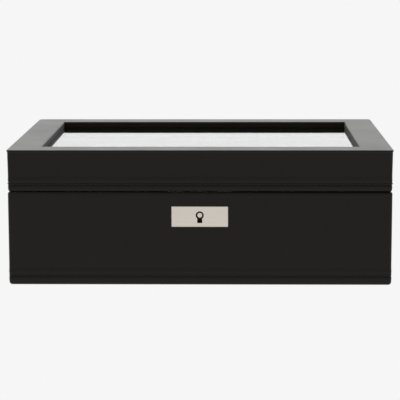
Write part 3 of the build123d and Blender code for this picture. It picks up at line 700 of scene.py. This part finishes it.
def seam(name, height, body):
    """Dashes of thread: centre = path + out * (sink + rise * sin(pi t)), tilted by slant * (t - 1/2)."""
    length = path_points(half_width, half_depth, plan_radius, np.zeros(1))[2]
    count = int(round(length / stitch_pitch))
    t = np.linspace(0, 1, dash_steps)
    wobble = np.sin(np.arange(count) * 12.9898) * 0.5
    distance = (np.arange(count)[:, None] + 0.5 * (1 - dash_share) + dash_share * t[None]) * stitch_pitch
    distance += dash_stray * wobble[:, None]
    places, out, _ = path_points(half_width, half_depth, plan_radius, distance.ravel())
    places = places.reshape(count, len(t), 2)
    out = out.reshape(count, len(t), 2)
    rise = -groove_depth - thread_sink + thread_rise * np.sin(math.pi * t) ** 0.6
    tilt = dash_slant * (t - 0.5)[None] + dash_shake * wobble[:, None]
    turn = np.arange(thread_sides) * 2 * math.pi / thread_sides
    thin = thread_radius * (0.6 + 0.4 * np.sin(math.pi * t) ** 0.5)
    outward = rise[None, :, None] + thin[None, :, None] * np.cos(turn)[None, None]
    plan = places[:, :, None] + out[:, :, None] * outward[..., None]
    tall = height + tilt[:, :, None] + thin[None, :, None] * np.sin(turn)[None, None]
    points = np.concatenate([plan, tall[..., None]], axis=-1)
    rings = np.arange(count * dash_steps * thread_sides).reshape(count, dash_steps, thread_sides)
    rings = np.concatenate([rings, rings[:, :, :1]], axis=2)
    sides = np.stack([rings[:, :-1, :-1], rings[:, 1:, :-1], rings[:, 1:, 1:], rings[:, :-1, 1:]], axis=-1)
    first, last = rings[:, 0], rings[:, -1]
    caps = np.concatenate([np.stack([ring[:, a] for a in order], axis=-1)
                           for ring, order in ((first, (0, 1, 2, 3)), (first, (3, 4, 5, 0)),
                                               (last, (3, 2, 1, 0)), (last, (0, 5, 4, 3)))])
    piece = quad_mesh(name, points.reshape(-1, 3), np.concatenate([sides.reshape(-1, 4), caps]))
    settle(piece, body, thread_finish)
    return piece


thread_finish, tree, shader, place = new_finish("bonded_thread", Specular_IOR_Level=0.35)
twist = noise(tree, place, 1500.0, 2.0)
paint(tree, shader, twist.outputs["Fac"], (0.003, 0.003, 0.003, 1), (0.016, 0.015, 0.014, 1))
roughen(tree, shader, twist.outputs["Fac"], 0.2, 0.45)
raise_surface(tree, shader, twist.outputs["Fac"], 0.5, 0.0002)
case_seam = seam("base_stitches", base_stitch_height, "case")
lid_seam = seam("lid_stitches", lid_stitch_height, "lid")
print("stitches:", *(len(piece.data.polygons) // dash_faces for piece in (case_seam, lid_seam)))

# %% [markdown]
# ## Finishes for the hard parts
#
# The CAD nodes keep their shapes and get a finish by their material slot. Each finish reads
# Object coordinates, which are the row frame in metres, so a pattern has its real size on every
# piece, and no two pieces of one material show the same stretch of it.

# %% Metals


def brushed_finish(name, low_colour, high_colour, roughness, spread, stretch, depth):
    """A metal with fine drawn lines and faint finger smudges."""
    finish, tree, shader, place = new_finish(name, Metallic=1.0)
    lines = use_group(tree, brushing, Place=place, Stretch=stretch)
    mixed = mingle(tree, lines.outputs["Line"], 0.7, lines.outputs["Smudge"])
    paint(tree, shader, mixed, low_colour, high_colour)
    roughen(tree, shader, mixed, spread, roughness)
    raise_surface(tree, shader, lines.outputs["Line"], 0.25, depth)
    return finish


smooth_line, cross_line = (0.35, 9.0, 16.0), (1.0, 8.0, 14.0)
nickel = brushed_finish("satin_nickel", (0.62, 0.575, 0.515, 1), (0.74, 0.69, 0.62, 1),
                        0.16, 0.14, smooth_line, 0.00003)
brass = brushed_finish("lacquered_brass", (0.50, 0.36, 0.14, 1), (0.78, 0.60, 0.28, 1),
                       0.20, 0.22, cross_line, 0.00004)
# The lock case and spring are brass, darkened far below the real metal: painted shade where they show in
# the keyhole and in the gap under the lid.
lock_brass_painted_shade = brushed_finish("lock_brass_painted_shade", (0.05, 0.034, 0.014, 1), (0.13, 0.09, 0.04, 1),
                                 0.34, 0.2, cross_line, 0.00004)
zinc = brushed_finish("zinc_steel", (0.36, 0.37, 0.38, 1), (0.62, 0.63, 0.64, 1),
                      0.26, 0.22, (6.0, 6.0, 6.0), 0.00004)
# The satin aluminium is painted far darker than the bare metal, so the drum bezels under the glass mirror
# little of the room.
aluminium = brushed_finish("darkened_aluminium", (0.085, 0.086, 0.09, 1), (0.17, 0.172, 0.18, 1),
                           0.24, 0.2, (0.3, 14.0, 14.0), 0.00004)
print("metals:", nickel.name, brass.name, zinc.name, aluminium.name)

# %% Boards, suede and felt


def napped_finish(name, dark, light, sheen):
    """A brushed pile: the shade wanders where the pile was stroked, and a sheen catches the edge light."""
    finish, tree, shader, place = new_finish(name, Specular_IOR_Level=0.1, Sheen_Weight=sheen,
                                             Sheen_Roughness=0.45)
    pile = use_group(tree, nap, Place=place)
    paint(tree, shader, pile.outputs["Shade"], dark, light)
    roughen(tree, shader, pile.outputs["Shade"], 0.15, 0.82)
    raise_surface(tree, shader, pile.outputs["Height"], 0.7, 0.00025)
    return finish


suede = napped_finish("charcoal_suede", (0.006, 0.006, 0.0065, 1), (0.021, 0.0205, 0.021, 1), 0.12)
pillow_suede = napped_finish("grey_suede", (0.016, 0.0155, 0.015, 1), (0.045, 0.043, 0.041, 1), 0.18)
felt_finish = napped_finish("black_felt", (0.004, 0.004, 0.004, 1), (0.018, 0.018, 0.018, 1), 0.25)

board_finish, tree, shader, place = new_finish("fibreboard", Specular_IOR_Level=0.2)
fleck = noise(tree, place, 1100.0, 5.0, Roughness=0.7)
layer_shade = noise(tree, place, 60.0, 2.0)
mixed = mingle(tree, fleck.outputs["Fac"], 0.7, layer_shade.outputs["Fac"])
paint(tree, shader, mixed, (0.16, 0.095, 0.045, 1), (0.42, 0.29, 0.17, 1))
roughen(tree, shader, fleck.outputs["Fac"], 0.2, 0.7)
raise_surface(tree, shader, fleck.outputs["Fac"], 0.4, 0.0002)
print("soft finishes:", suede.name, pillow_suede.name, felt_finish.name, board_finish.name)

# %% Plastics, rubber, circuit board and glass


def moulded_finish(name, dark, light, roughness, texture_scale, depth, coat=0.0):
    """A moulded plastic or rubber with a spark-eroded texture and slight flow marks."""
    finish, tree, shader, place = new_finish(name, Specular_IOR_Level=0.45, Coat_Weight=coat,
                                             Coat_Roughness=0.06)
    spark = add_node(tree, "ShaderNodeTexVoronoi", {"Vector": place, "Scale": texture_scale})
    flow = noise(tree, place, 35.0, 3.0)
    paint(tree, shader, flow.outputs["Fac"], dark, light)
    roughen(tree, shader, flow.outputs["Fac"], 0.14, roughness)
    raise_surface(tree, shader, spark.outputs["Distance"], 0.35, depth)
    return finish


housing_plastic = moulded_finish("textured_black_plastic",
                                 (0.010, 0.010, 0.011, 1), (0.022, 0.022, 0.023, 1),
                                 0.45, 2200.0, 0.00015)
drum_plastic = moulded_finish("gloss_black_plastic", (0.006, 0.006, 0.007, 1), (0.012, 0.012, 0.013, 1),
                              0.14, 900.0, 0.00001, 0.3)
belt_rubber = moulded_finish("belt_rubber", (0.008, 0.008, 0.008, 1), (0.02, 0.02, 0.02, 1),
                             0.6, 3000.0, 0.0001)
acetal = moulded_finish("white_acetal", (0.62, 0.60, 0.55, 1), (0.78, 0.77, 0.73, 1),
                        0.3, 1500.0, 0.00003)
wire_vinyl = moulded_finish("red_wire_vinyl", (0.22, 0.010, 0.008, 1), (0.38, 0.022, 0.016, 1),
                            0.35, 900.0, 0.00003)
lens_green = moulded_finish("indicator_lens", (0.10, 0.42, 0.20, 1), (0.20, 0.62, 0.32, 1),
                            0.08, 700.0, 0.00001, 0.5)

circuit_finish, tree, shader, place = new_finish("solder_mask", Specular_IOR_Level=0.5)
tracks = add_node(tree, "ShaderNodeTexVoronoi", {"Vector": place, "Scale": 420.0}, distance="CHEBYCHEV")
copper = maths(tree, "GREATER_THAN", tracks.outputs["Distance"], 0.62)
pads = maths(tree, "LESS_THAN", tracks.outputs["Distance"], 0.12)
mask = blend_colours(tree, copper, (0.004, 0.050, 0.016, 1), (0.010, 0.115, 0.035, 1))
paint(tree, shader, pads, mask, (0.62, 0.56, 0.42, 1))
tree.links.new(pads, shader.inputs["Metallic"])
roughen(tree, shader, copper, 0.12, 0.24)
raise_surface(tree, shader, copper, 0.4, 0.00005)

window_glass, tree, shader, place = new_finish("window_glass", Transmission_Weight=1.0, IOR=1.5,
                                               Metallic=0.0)
haze = noise(tree, place, 9.0, 3.0)
paint(tree, shader, haze.outputs["Fac"], (0.955, 0.985, 0.975, 1), (0.975, 0.992, 0.985, 1))
tree.links.new(maths(tree, "MULTIPLY", haze.outputs["Fac"], 0.012), shader.inputs["Roughness"])
print("finishes:", len(bpy.data.materials))

# %% Give each CAD node its finish
by_slot = {
    "black_leather": leather_finish, "case_board": board_finish, "suede": suede, "felt": felt_finish,
    "window_glass": window_glass, "nickel": nickel, "brass": brass, "steel": zinc,
    "satin_aluminium": aluminium, "black_plastic": housing_plastic, "gloss_black_plastic": drum_plastic,
    "belt_rubber": belt_rubber, "acetal": acetal, "circuit_green": circuit_finish,
    "lens_plastic": lens_green, "wire_jacket": wire_vinyl,
}
# The lock parts take the brass darkened with painted shade.
own_finish = {"lock_case": lock_brass_painted_shade, "lock_spring": lock_brass_painted_shade}
for entry in frame["record"]["subparts"]:
    piece = nodes[entry["node"]]
    piece.data.materials.clear()
    piece.data.materials.append(own_finish.get(entry["node"], by_slot[entry["material_slot"]]))

# %% [markdown]
# ## Linings and felt
#
# The walls inside are covered with suede pasted on thin card. Its edges are folded over the card,
# so each panel has a soft rolled edge and swells a little in the middle. The felt under the box is
# a single die-cut sheet. Both are drawn as a section carried round the walls, or as a closed sheet.

# %% Wall linings


def lining(name, node, body, low, high):
    """A strip round the inside of the walls: section = rounded strip + swell * sin(pi t)^2 inwards.

    t runs from 0 at the strip's lower edge to 1 at its upper edge.
    """
    corners = [(board_depth, low, 0.1 * MM), (board_depth, high, 0.1 * MM),
               (wall, high, 0.5 * MM), (wall, low, 0.5 * MM)]
    section = rounded_section(corners[::-1], 2.0 * MM)[::-1]
    t = np.clip((section[:, 1] - low) / (high - low), 0, 1)
    inner = section[:, 0] > wall - 0.1 * MM
    section[:, 0] += np.where(inner, 0.25 * MM * np.sin(math.pi * t) ** 0.5, 0.0)
    piece = surface(name, carried_round(section, half_width, half_depth, 0.0, 5 * MM))
    settle(piece, body, suede, node)
    return piece


case_lining = lining("case_wall_lining", "base_lining", "case", lining_low[2], lining_high[2])
jack_room = 0.2 * MM
cut_seats(case_lining, [((inlet_low[0] + jack_room, inlet_low[1], inlet_low[2] + jack_room),
                         (inlet_high[0] - jack_room, inlet_high[1], inlet_high[2] - jack_room))])
case_lining.data.materials.clear()
case_lining.data.materials.append(suede)
lid_wall_lining = lining("lid_wall_lining", "lid_lining", "lid", lid_lining_low[2], lid_lining_high[2])
print("linings:", len(case_lining.data.polygons), len(lid_wall_lining.data.polygons), "faces")

# %% The felt sheet under the box


def sheet_points(low, high, counts, edge):
    """A closed sheet as an upper and a lower grid whose border rows roll together.

    With s the distance to the nearest edge, the half thickness is h * sqrt(1 - (1 - min(s / edge, 1))^2).
    """
    border = edge * np.array([0.0, 0.1, 0.4])
    x, y = (np.concatenate([low[a] + border, np.linspace(low[a] + edge, high[a] - edge, counts[a]),
                            high[a] - border[::-1]]) for a in (0, 1))
    grid_x, grid_y = np.meshgrid(x, y, indexing="ij")
    from_edge = np.minimum.reduce([grid_x - low[0], high[0] - grid_x, grid_y - low[1], high[1] - grid_y])
    half = (high[2] - low[2]) / 2 * np.sqrt(1 - (1 - np.clip(from_edge / edge, 0, 1)) ** 2)
    middle = (high[2] + low[2]) / 2
    upper = np.stack([grid_x, grid_y, middle + half], axis=-1)
    lower = np.stack([grid_x, grid_y, middle - half], axis=-1)
    return upper, lower


def closed_sheet(name, low, high, counts, edge):
    """A mesh from the two grids, sharing the points of their border."""
    upper, lower = sheet_points(low, high, counts, edge)
    rows, columns = upper.shape[:2]
    top = np.arange(rows * columns).reshape(rows, columns)
    under = top + rows * columns
    under[0], under[-1], under[:, 0], under[:, -1] = top[0], top[-1], top[:, 0], top[:, -1]
    above = grid_faces(top).reshape(-1, 4)
    below = grid_faces(under)[..., [0, 3, 2, 1]].reshape(-1, 4)
    used, quads = np.unique(np.concatenate([above, below]), return_inverse=True)
    points = np.concatenate([upper.reshape(-1, 3), lower.reshape(-1, 3)])[used]
    return quad_mesh(name, points, quads.reshape(-1, 4))


felt_counts, felt_edge = (40, 30), 0.7 * MM
felt_sheet = closed_sheet("felt_sheet", felt_low, felt_high, felt_counts, felt_edge)
settle(felt_sheet, "case", felt_finish, "base_felt")
print("felt faces", len(felt_sheet.data.polygons))

# %% [markdown]
# ## Stuffed pieces
#
# The watch pillows and the winders' cuffs are suede bags filled with foam. A block with rounded
# edges would look like plastic, so each bag is blown up as cloth: a slightly small copy of its CAD
# solid is remeshed, and cloth with inner pressure makes its faces crown and its corners pull in.
# One pillow and one cuff are enough, because the others are the same bag in other places.

# %% Blow up a bag
small_start = 0.94
most_swell = 3.2 * MM
voxel = 3.0 * MM
pressure = 4.0
last_frame = 20


def mesh_points(mesh):
    """A mesh's points as an array."""
    points = np.empty(len(mesh.vertices) * 3)
    mesh.vertices.foreach_get("co", points)
    return points.reshape(-1, 3)


def set_points(mesh, points):
    """Move a mesh's points to the rows of an array."""
    mesh.vertices.foreach_set("co", np.ascontiguousarray(points, dtype=np.float32).ravel())
    mesh.update()


def blown_bag(name, points, faces_mesh):
    """Cloth under pressure from a start shape: each point moves at most most_swell from where it began."""
    mesh = faces_mesh.copy()
    middle = (points.max(axis=0) + points.min(axis=0)) / 2
    set_points(mesh, middle + (points - middle) * small_start)
    bag = add_object(name, mesh)
    remesh = bag.modifiers.new("voxels", "REMESH")
    remesh.mode = "VOXEL"
    remesh.voxel_size = voxel
    bag.data = finished_mesh(bag)
    bag.modifiers.clear()
    started = mesh_points(bag.data)
    cloth = bag.modifiers.new("stuffing", "CLOTH")
    cloth.settings.use_pressure = True
    cloth.settings.uniform_pressure_force = pressure
    cloth.settings.effector_weights.gravity = 0
    cloth.collision_settings.use_collision = False
    cloth.point_cache.frame_end = last_frame
    for step in range(1, last_frame + 1):
        bpy.context.scene.frame_set(step)
    swollen = finished_mesh(bag)
    bag.modifiers.clear()
    moved = mesh_points(swollen) - started
    length = np.linalg.norm(moved, axis=1, keepdims=True)
    set_points(bag.data, started + moved * np.minimum(1, most_swell / np.maximum(length, 1e-9)))
    return bag


def seam_ring(points, axis_place, reach, sectors=48, steps=96, kept_waves=8):
    """A closed line on a bag where a plane across X meets it: radius(angle) from the nearby points.

    The radius is the highest within each sector, smoothed by its mean and first seven harmonics.
    """
    middle = (points[:, 1:].max(axis=0) + points[:, 1:].min(axis=0)) / 2
    near = points[np.abs(points[:, 0] - axis_place) < reach]
    offset = near[:, 1:] - middle
    angle = np.arctan2(offset[:, 1], offset[:, 0])
    radius = np.linalg.norm(offset, axis=1)
    sector = ((angle + math.pi) / (2 * math.pi) * sectors).astype(int) % sectors
    highest = np.full(sectors, 0.0)
    np.maximum.at(highest, sector, radius)
    filled = np.interp(np.arange(sectors), np.flatnonzero(highest), highest[highest > 0])
    whole = np.where(highest > 0, highest, filled)
    waves = np.fft.rfft(whole)
    waves[kept_waves:] = 0
    smooth = np.fft.irfft(waves, steps) * (steps / sectors)
    turn = (np.arange(steps) + 1.0) / steps * 2 * math.pi - math.pi
    return np.stack([np.full(steps, axis_place), middle[0] + smooth * np.cos(turn),
                     middle[1] + smooth * np.sin(turn)], axis=-1)


def tube_round(name, line, radius, sides=8):
    """A closed tube: point = line + radius * (cos v * across + sin v * outward)."""
    ahead = np.roll(line, -1, axis=0) - np.roll(line, 1, axis=0)
    ahead /= np.linalg.norm(ahead, axis=1, keepdims=True)
    across = np.tile([1.0, 0.0, 0.0], (len(line), 1))
    outward = np.cross(ahead, across)
    turn = np.arange(sides) * 2 * math.pi / sides
    points = line[:, None] + radius * (np.cos(turn)[None, :, None] * across[:, None]
                                       + np.sin(turn)[None, :, None] * outward[:, None])
    return surface(name, points)


# %% One pillow, in five places
piping_radius = 0.75 * MM
piping_inset = 7.0 * MM
groove_reach = 2.2 * MM


def seamed(points, places):
    """Pull a bag in along its seams: each point moves inwards by piping_radius * exp(-(dx / reach)^2)."""
    middle = (points.max(axis=0) + points.min(axis=0)) / 2
    pull = sum(np.exp(-((points[:, 0] - place) / groove_reach) ** 2) for place in places)
    offset = (points - middle) * (0, 1, 1)
    length = np.linalg.norm(offset, axis=1, keepdims=True)
    return points - offset / np.maximum(length, 1e-6) * (piping_radius * pull)[:, None]


def finish_bag(bag, body, node):
    """Material, smooth shading, one subdivision, and the calls that place a bag in the frame."""
    bag.data.materials.clear()
    bag.data.shade_smooth()
    softer = bag.modifiers.new("smooth", "SUBSURF")
    softer.levels = softer.render_levels = 1
    settle(bag, body, pillow_suede, node)


pillow_low, pillow_high = box_of("pillow_1")
seam_places = (pillow_low[0] + piping_inset, pillow_high[0] - piping_inset)
first_bag = blown_bag("bag_of_pillow_1", mesh_points(nodes["pillow_1"].data), nodes["pillow_1"].data)
bag_points = mesh_points(first_bag.data)
bag_points[:, 2] = np.maximum(bag_points[:, 2], pillow_low[2] + 0.1 * MM)
bag_points = seamed(bag_points, seam_places)
set_points(first_bag.data, bag_points)
rings = [seam_ring(bag_points, place, voxel) for place in seam_places]
bag_size = bag_points.max(axis=0) - bag_points.min(axis=0)
for count in range(1, 6):
    shift = box_of(f"pillow_{count}")[0] - pillow_low
    if count == 1:
        bag = first_bag
    else:
        bag = add_object(f"bag_of_pillow_{count}", first_bag.data.copy())
        set_points(bag.data, bag_points + shift)
    finish_bag(bag, f"pillow_{count}", f"pillow_{count}")
    for end, ring in zip(("left", "right"), rings):
        piping = tube_round(f"pillow_{count}_{end}_piping", ring + shift, piping_radius)
        settle(piping, f"pillow_{count}", pillow_suede)
print("pillow size in mm", np.round(bag_size / MM, 1))

# %% One cuff, in two places
console_slope = math.radians(25.0)
lean = np.array([[1, 0, 0], [0, math.cos(console_slope), -math.sin(console_slope)],
                 [0, math.sin(console_slope), math.cos(console_slope)]])
cuff_mesh = nodes["left_cuff"].data
upright = mesh_points(cuff_mesh) @ lean
cuff_low, cuff_high = upright.min(axis=0), upright.max(axis=0)
cuff_bag = blown_bag("bag_of_left_cuff", upright, cuff_mesh)
cuff_bulge = np.array([1.5 * MM, 1.0 * MM, 1.0 * MM])
cuff_points = np.clip(mesh_points(cuff_bag.data), cuff_low - cuff_bulge * (1, 1, 0), cuff_high + cuff_bulge)
cuff_seams = (cuff_low[0] + piping_inset, cuff_high[0] - piping_inset)
cuff_points = seamed(cuff_points, cuff_seams)
cuff_rings = [seam_ring(cuff_points, place, voxel) for place in cuff_seams]
winder_step = box_of("right_cuff")[0] - box_of("left_cuff")[0]
for side, shift in (("left", np.zeros(3)), ("right", winder_step)):
    bag = cuff_bag
    if side == "right":
        bag = add_object("bag_of_right_cuff", cuff_bag.data.copy())
    set_points(bag.data, cuff_points @ lean.T + shift)
    finish_bag(bag, f"cuff_{side}", f"{side}_cuff")
    for end, ring in zip(("left", "right"), cuff_rings):
        piping = tube_round(f"{side}_cuff_{end}_piping", ring @ lean.T + shift, piping_radius)
        settle(piping, f"cuff_{side}", pillow_suede)
print("cuff size in mm", np.round((cuff_points.max(axis=0) - cuff_points.min(axis=0)) / MM, 1))

# %% [markdown]
# ## The keyhole's sleeve
#
# A thin steel sleeve lines the key's way through the wood, as a lock's escutcheon tube does. Its
# near-black colour is partly the sleeve's own blacking and partly painted shade, so the hole looks
# dark round its bright guide pin. It is the keyhole's outline with a wall, drawn through the front board.

# %% Sleeve in the keyhole
pin_low, pin_high = box_of("lock_pin")
pin_height = (pin_low[2] + pin_high[2]) / 2
hole_radius, slot_half, slot_reach, sleeve_wall = 3.7 * MM, 2.25 * MM, 7.2 * MM, 0.35 * MM


def keyhole_outline(shrink):
    """An arc of the round hole and the three sides of the slot, moved in by a wall."""
    radius, half, reach = hole_radius - shrink, slot_half - shrink, slot_reach - shrink
    start = math.asin(half / radius) - math.pi / 2
    turn = np.linspace(start, 2 * math.pi - math.pi - start, 40)
    arc = np.stack([radius * np.cos(turn), radius * np.sin(turn)], axis=-1)
    foot = np.array([[-half, -reach], [half, -reach]])
    return np.concatenate([arc, foot])


outer_line, inner_line = keyhole_outline(0.0), keyhole_outline(sleeve_wall)
near_y, far_y = plate_high[1] - 0.2 * MM, pin_high[1] - 1.0 * MM
rings = [(outer_line, near_y), (outer_line, far_y), (inner_line, far_y), (inner_line, near_y)]
sleeve_points = np.stack([np.stack([line[:, 0], np.full(len(line), y), pin_height + line[:, 1]], axis=-1)
                          for line, y in rings], axis=1)
sleeve = surface("keyhole_sleeve", sleeve_points)
sleeve.data.set_sharp_from_angle(angle=crisp)
# Near-black: the steel's blacking, and painted shade for the inside of the keyhole.
sleeve_black_and_shade = moulded_finish("sleeve_black_and_shade_steel", (0.003, 0.003, 0.003, 1), (0.008, 0.0075, 0.007, 1),
                               0.45, 1800.0, 0.00004)
settle(sleeve, "case", sleeve_black_and_shade)
print("sleeve faces", len(sleeve.data.polygons))

# %% [markdown]
# ## Screws and knobs
#
# The countersunk screws get their cross recesses here, cut into a merged copy of the CAD screws.
# The two programme knobs get a fluted grip ring and a pointer, which fingers and eyes look for.

# %% Cross recesses in the screws
recess_length, recess_width, recess_depth = 2.5 * MM, 0.5 * MM, 0.9 * MM
slot_of = {entry["node"]: entry["material_slot"] for entry in frame["record"]["subparts"]}


def screw_heads(points, way):
    """The middle of each screw's head: screws are split where X jumps, and a head is the highest end."""
    order = np.argsort(points[:, 0])
    ordered = points[order]
    screws = np.split(ordered, np.flatnonzero(np.diff(ordered[:, 0]) > 4 * MM) + 1)
    heads = []
    for screw in screws:
        low, high = screw.min(axis=0), screw.max(axis=0)
        heads.append(np.array([*((low + high) / 2)[:2], high[2] if way > 0 else low[2]]))
    return heads


def merged_copy(name, node):
    """A copy of a CAD node's mesh with its loose triangles joined."""
    mesh = nodes[node].data.copy()
    work = bmesh.new()
    work.from_mesh(mesh)
    bmesh.ops.remove_doubles(work, verts=work.verts, dist=0.001 * MM)
    work.to_mesh(mesh)
    work.free()
    return add_object(name, mesh)


def crossed_screws(name, node, body, way):
    """A CAD node's screws with two crossing slots cut into each head, one direction at a time."""
    piece = merged_copy(name, node)
    cuts = []
    for head in screw_heads(mesh_points(piece.data), way):
        for size_x, size_y in ((recess_length, recess_width), (recess_width, recess_length)):
            reach = np.array([size_x / 2, size_y / 2, recess_depth])
            cuts.append((head - reach, head + reach))
    for pair in (cuts[0::2], cuts[1::2]):
        cut_seats(piece, pair)
    piece.data.materials.clear()
    settle(piece, body, by_slot[slot_of[node]], node)
    return piece


for name, node, body, way in (("crossed_hinge_screws", "hinge_screws", "case", 1),
                              ("crossed_lock_screws", "lock_screws", "case", 1),
                              ("crossed_lid_screws", "lid_screws", "lid", -1)):
    print(name, len(crossed_screws(name, node, body, way).data.polygons), "faces")

# %% Grip rings and pointers on the knobs
flutes, flute_depth, ring_swell, ring_bite = 20, 0.35 * MM, 0.35 * MM, 0.4 * MM
knob_head_height, pointer_width = 11.0 * MM, 0.9 * MM


def knob_ring(name, middle, radius, low, high):
    """A fluted ring: radius(a, z) = outer(z) - depth * (1 - cos(flutes * a)) / 2 on its outer side."""
    section = np.array([(radius - ring_bite, low + ring_bite), (radius + ring_swell, low + ring_bite),
                        (radius + ring_swell + 0.2 * MM, low + 1.4 * MM),
                        (radius + ring_swell, high - 1.2 * MM),
                        (radius - 0.1 * MM, high - 0.6 * MM), (radius - ring_bite, high - 0.9 * MM)])
    outer = section[:, 0] > radius
    angle = np.arange(flutes * 8) / (flutes * 8) * 2 * math.pi
    reach = section[None, :, 0] - outer[None] * flute_depth * (1 - np.cos(flutes * angle))[:, None] / 2
    points = np.stack([reach * np.cos(angle)[:, None], reach * np.sin(angle)[:, None],
                       np.broadcast_to(section[None, :, 1], reach.shape)], axis=-1)
    return surface(name, points @ lean.T + middle)


def pointer_bar(name, middle, length, width, low, high):
    """A raised line from the knob's middle to its rim, with a bevelled top."""
    points, quads = box_points((-width / 2, 0.8 * MM, low), (width / 2, length, high))
    piece = quad_mesh(name, points @ lean.T + middle, quads)
    bevel = piece.modifiers.new("soft edge", "BEVEL")
    bevel.width, bevel.segments = 0.12 * MM, 2
    return piece


for side in ("left", "right"):
    knob = mesh_points(nodes[f"{side}_program_knob"].data) @ lean
    knob_low, knob_high = knob.min(axis=0), knob.max(axis=0)
    centre = (knob_low + knob_high) / 2
    knob_radius = (knob_high[0] - knob_low[0]) / 2
    top = knob_high[2] - centre[2]
    ring = knob_ring(f"{side}_knob_grip", centre @ lean.T, knob_radius, top - knob_head_height, top)
    bar_piece = pointer_bar(f"{side}_knob_pointer", centre @ lean.T, knob_radius - 1.0 * MM, pointer_width,
                            top - 0.2 * MM, top + 0.3 * MM)
    for piece, finish, slot in ((ring, housing_plastic, "black_plastic"), (bar_piece, acetal, "acetal")):
        settle(piece, f"program_knob_{side}", finish)
print("knob radius in mm", round(float(knob_radius / MM), 2))

# %% [markdown]
# ## Floor, light and camera
#
# The box stands on a pale seamless table in a bright room. Around it the light is even and soft,
# and brightest low behind the box, where the glass and the frame mirror it. A long lens from a
# little above the lid keeps the front face nearly square.

# %% A pale table and a soft room
bpy.context.scene.view_settings.view_transform = "Standard"
table_half, table_thickness = 14.0, 0.02
table_points, table_quads = box_points((-table_half, -table_half, -table_thickness),
                                       (table_half, table_half, 0.0))
table = quad_mesh("pale_table", table_points, table_quads)
table_finish = bpy.data.materials.new("pale_table")
table_finish.use_nodes = True
tree = table_finish.node_tree
tree.nodes.clear()
seen_white, mirrored_white = 0.9216, 0.90
spot = add_node(tree, "ShaderNodeNewGeometry").outputs["Position"]
mottle = noise(tree, spot, 1.5, 2.0).outputs["Fac"]
mottle_range = 0.004
shade = maths(tree, "MULTIPLY_ADD", mottle, mottle_range, seen_white - mottle_range / 2)
shown = add_node(tree, "ShaderNodeEmission", {"Color": (1, 1, 1, 1), "Strength": shade})
bounced = add_node(tree, "ShaderNodeEmission", {"Color": (1, 1, 1, 1), "Strength": mirrored_white})
path = add_node(tree, "ShaderNodeLightPath")
both = add_node(tree, "ShaderNodeMixShader",
                {0: path.outputs["Is Camera Ray"], 1: bounced.outputs[0], 2: shown.outputs[0]})
add_node(tree, "ShaderNodeOutputMaterial", {"Surface": both.outputs[0]})
table.data.materials.append(table_finish)

room = bpy.data.worlds.new("soft_room")
bpy.context.scene.world = room
room.use_nodes = True
tree = room.node_tree
tree.nodes.clear()
ray = add_node(tree, "ShaderNodeTexCoord").outputs["Generated"]
parts = add_node(tree, "ShaderNodeSeparateXYZ", {0: ray})
back_share = add_node(tree, "ShaderNodeMapRange", interpolation_type="SMOOTHSTEP",
                      inputs={"Value": parts.outputs[1], "From Min": -0.3, "From Max": 0.6}).outputs[0]
back_light, front_light = 1.17, 0.34
strength = maths(tree, "MULTIPLY_ADD", back_share, back_light - front_light, front_light)
glow = add_node(tree, "ShaderNodeBackground", {"Color": (1, 1, 1, 1), "Strength": strength})
add_node(tree, "ShaderNodeOutputWorld", {"Surface": glow.outputs[0]})
print("room ready")

# %% The camera
focal_share, sensor = 4.195, 36.0
pitch, yaw, roll = 0.15218, 0.01981, -0.00216
eye = np.array([30.98, -1688.30, 318.89]) * MM
forward = np.array([-math.sin(yaw) * math.cos(pitch), math.cos(yaw) * math.cos(pitch), -math.sin(pitch)])
right = np.array([math.cos(yaw), math.sin(yaw), 0.0])
up = np.cross(right, forward)
right, up = (math.cos(roll) * right + math.sin(roll) * up, -math.sin(roll) * right + math.cos(roll) * up)
lens = bpy.data.cameras.new("camera")
lens.sensor_width = sensor
lens.lens = focal_share * sensor
lens.clip_end = 60.0
camera = add_object("camera", lens)
turn = np.eye(4)
turn[:3, 0], turn[:3, 1], turn[:3, 2], turn[:3, 3] = right, up, -forward, eye
camera.matrix_world = Matrix(turn.tolist())
bpy.context.scene.camera = camera

key_power, key_size = 6.0, 1.6
key_data = bpy.data.lights.new("window_light", "AREA")
key_data.energy, key_data.size = key_power, key_size
key = add_object("window_light", key_data)
key.location = (-0.9, -0.9, 2.0)
key.rotation_euler = (math.radians(32), math.radians(-20), 0.0)
print("lens", round(lens.lens, 1), "mm")
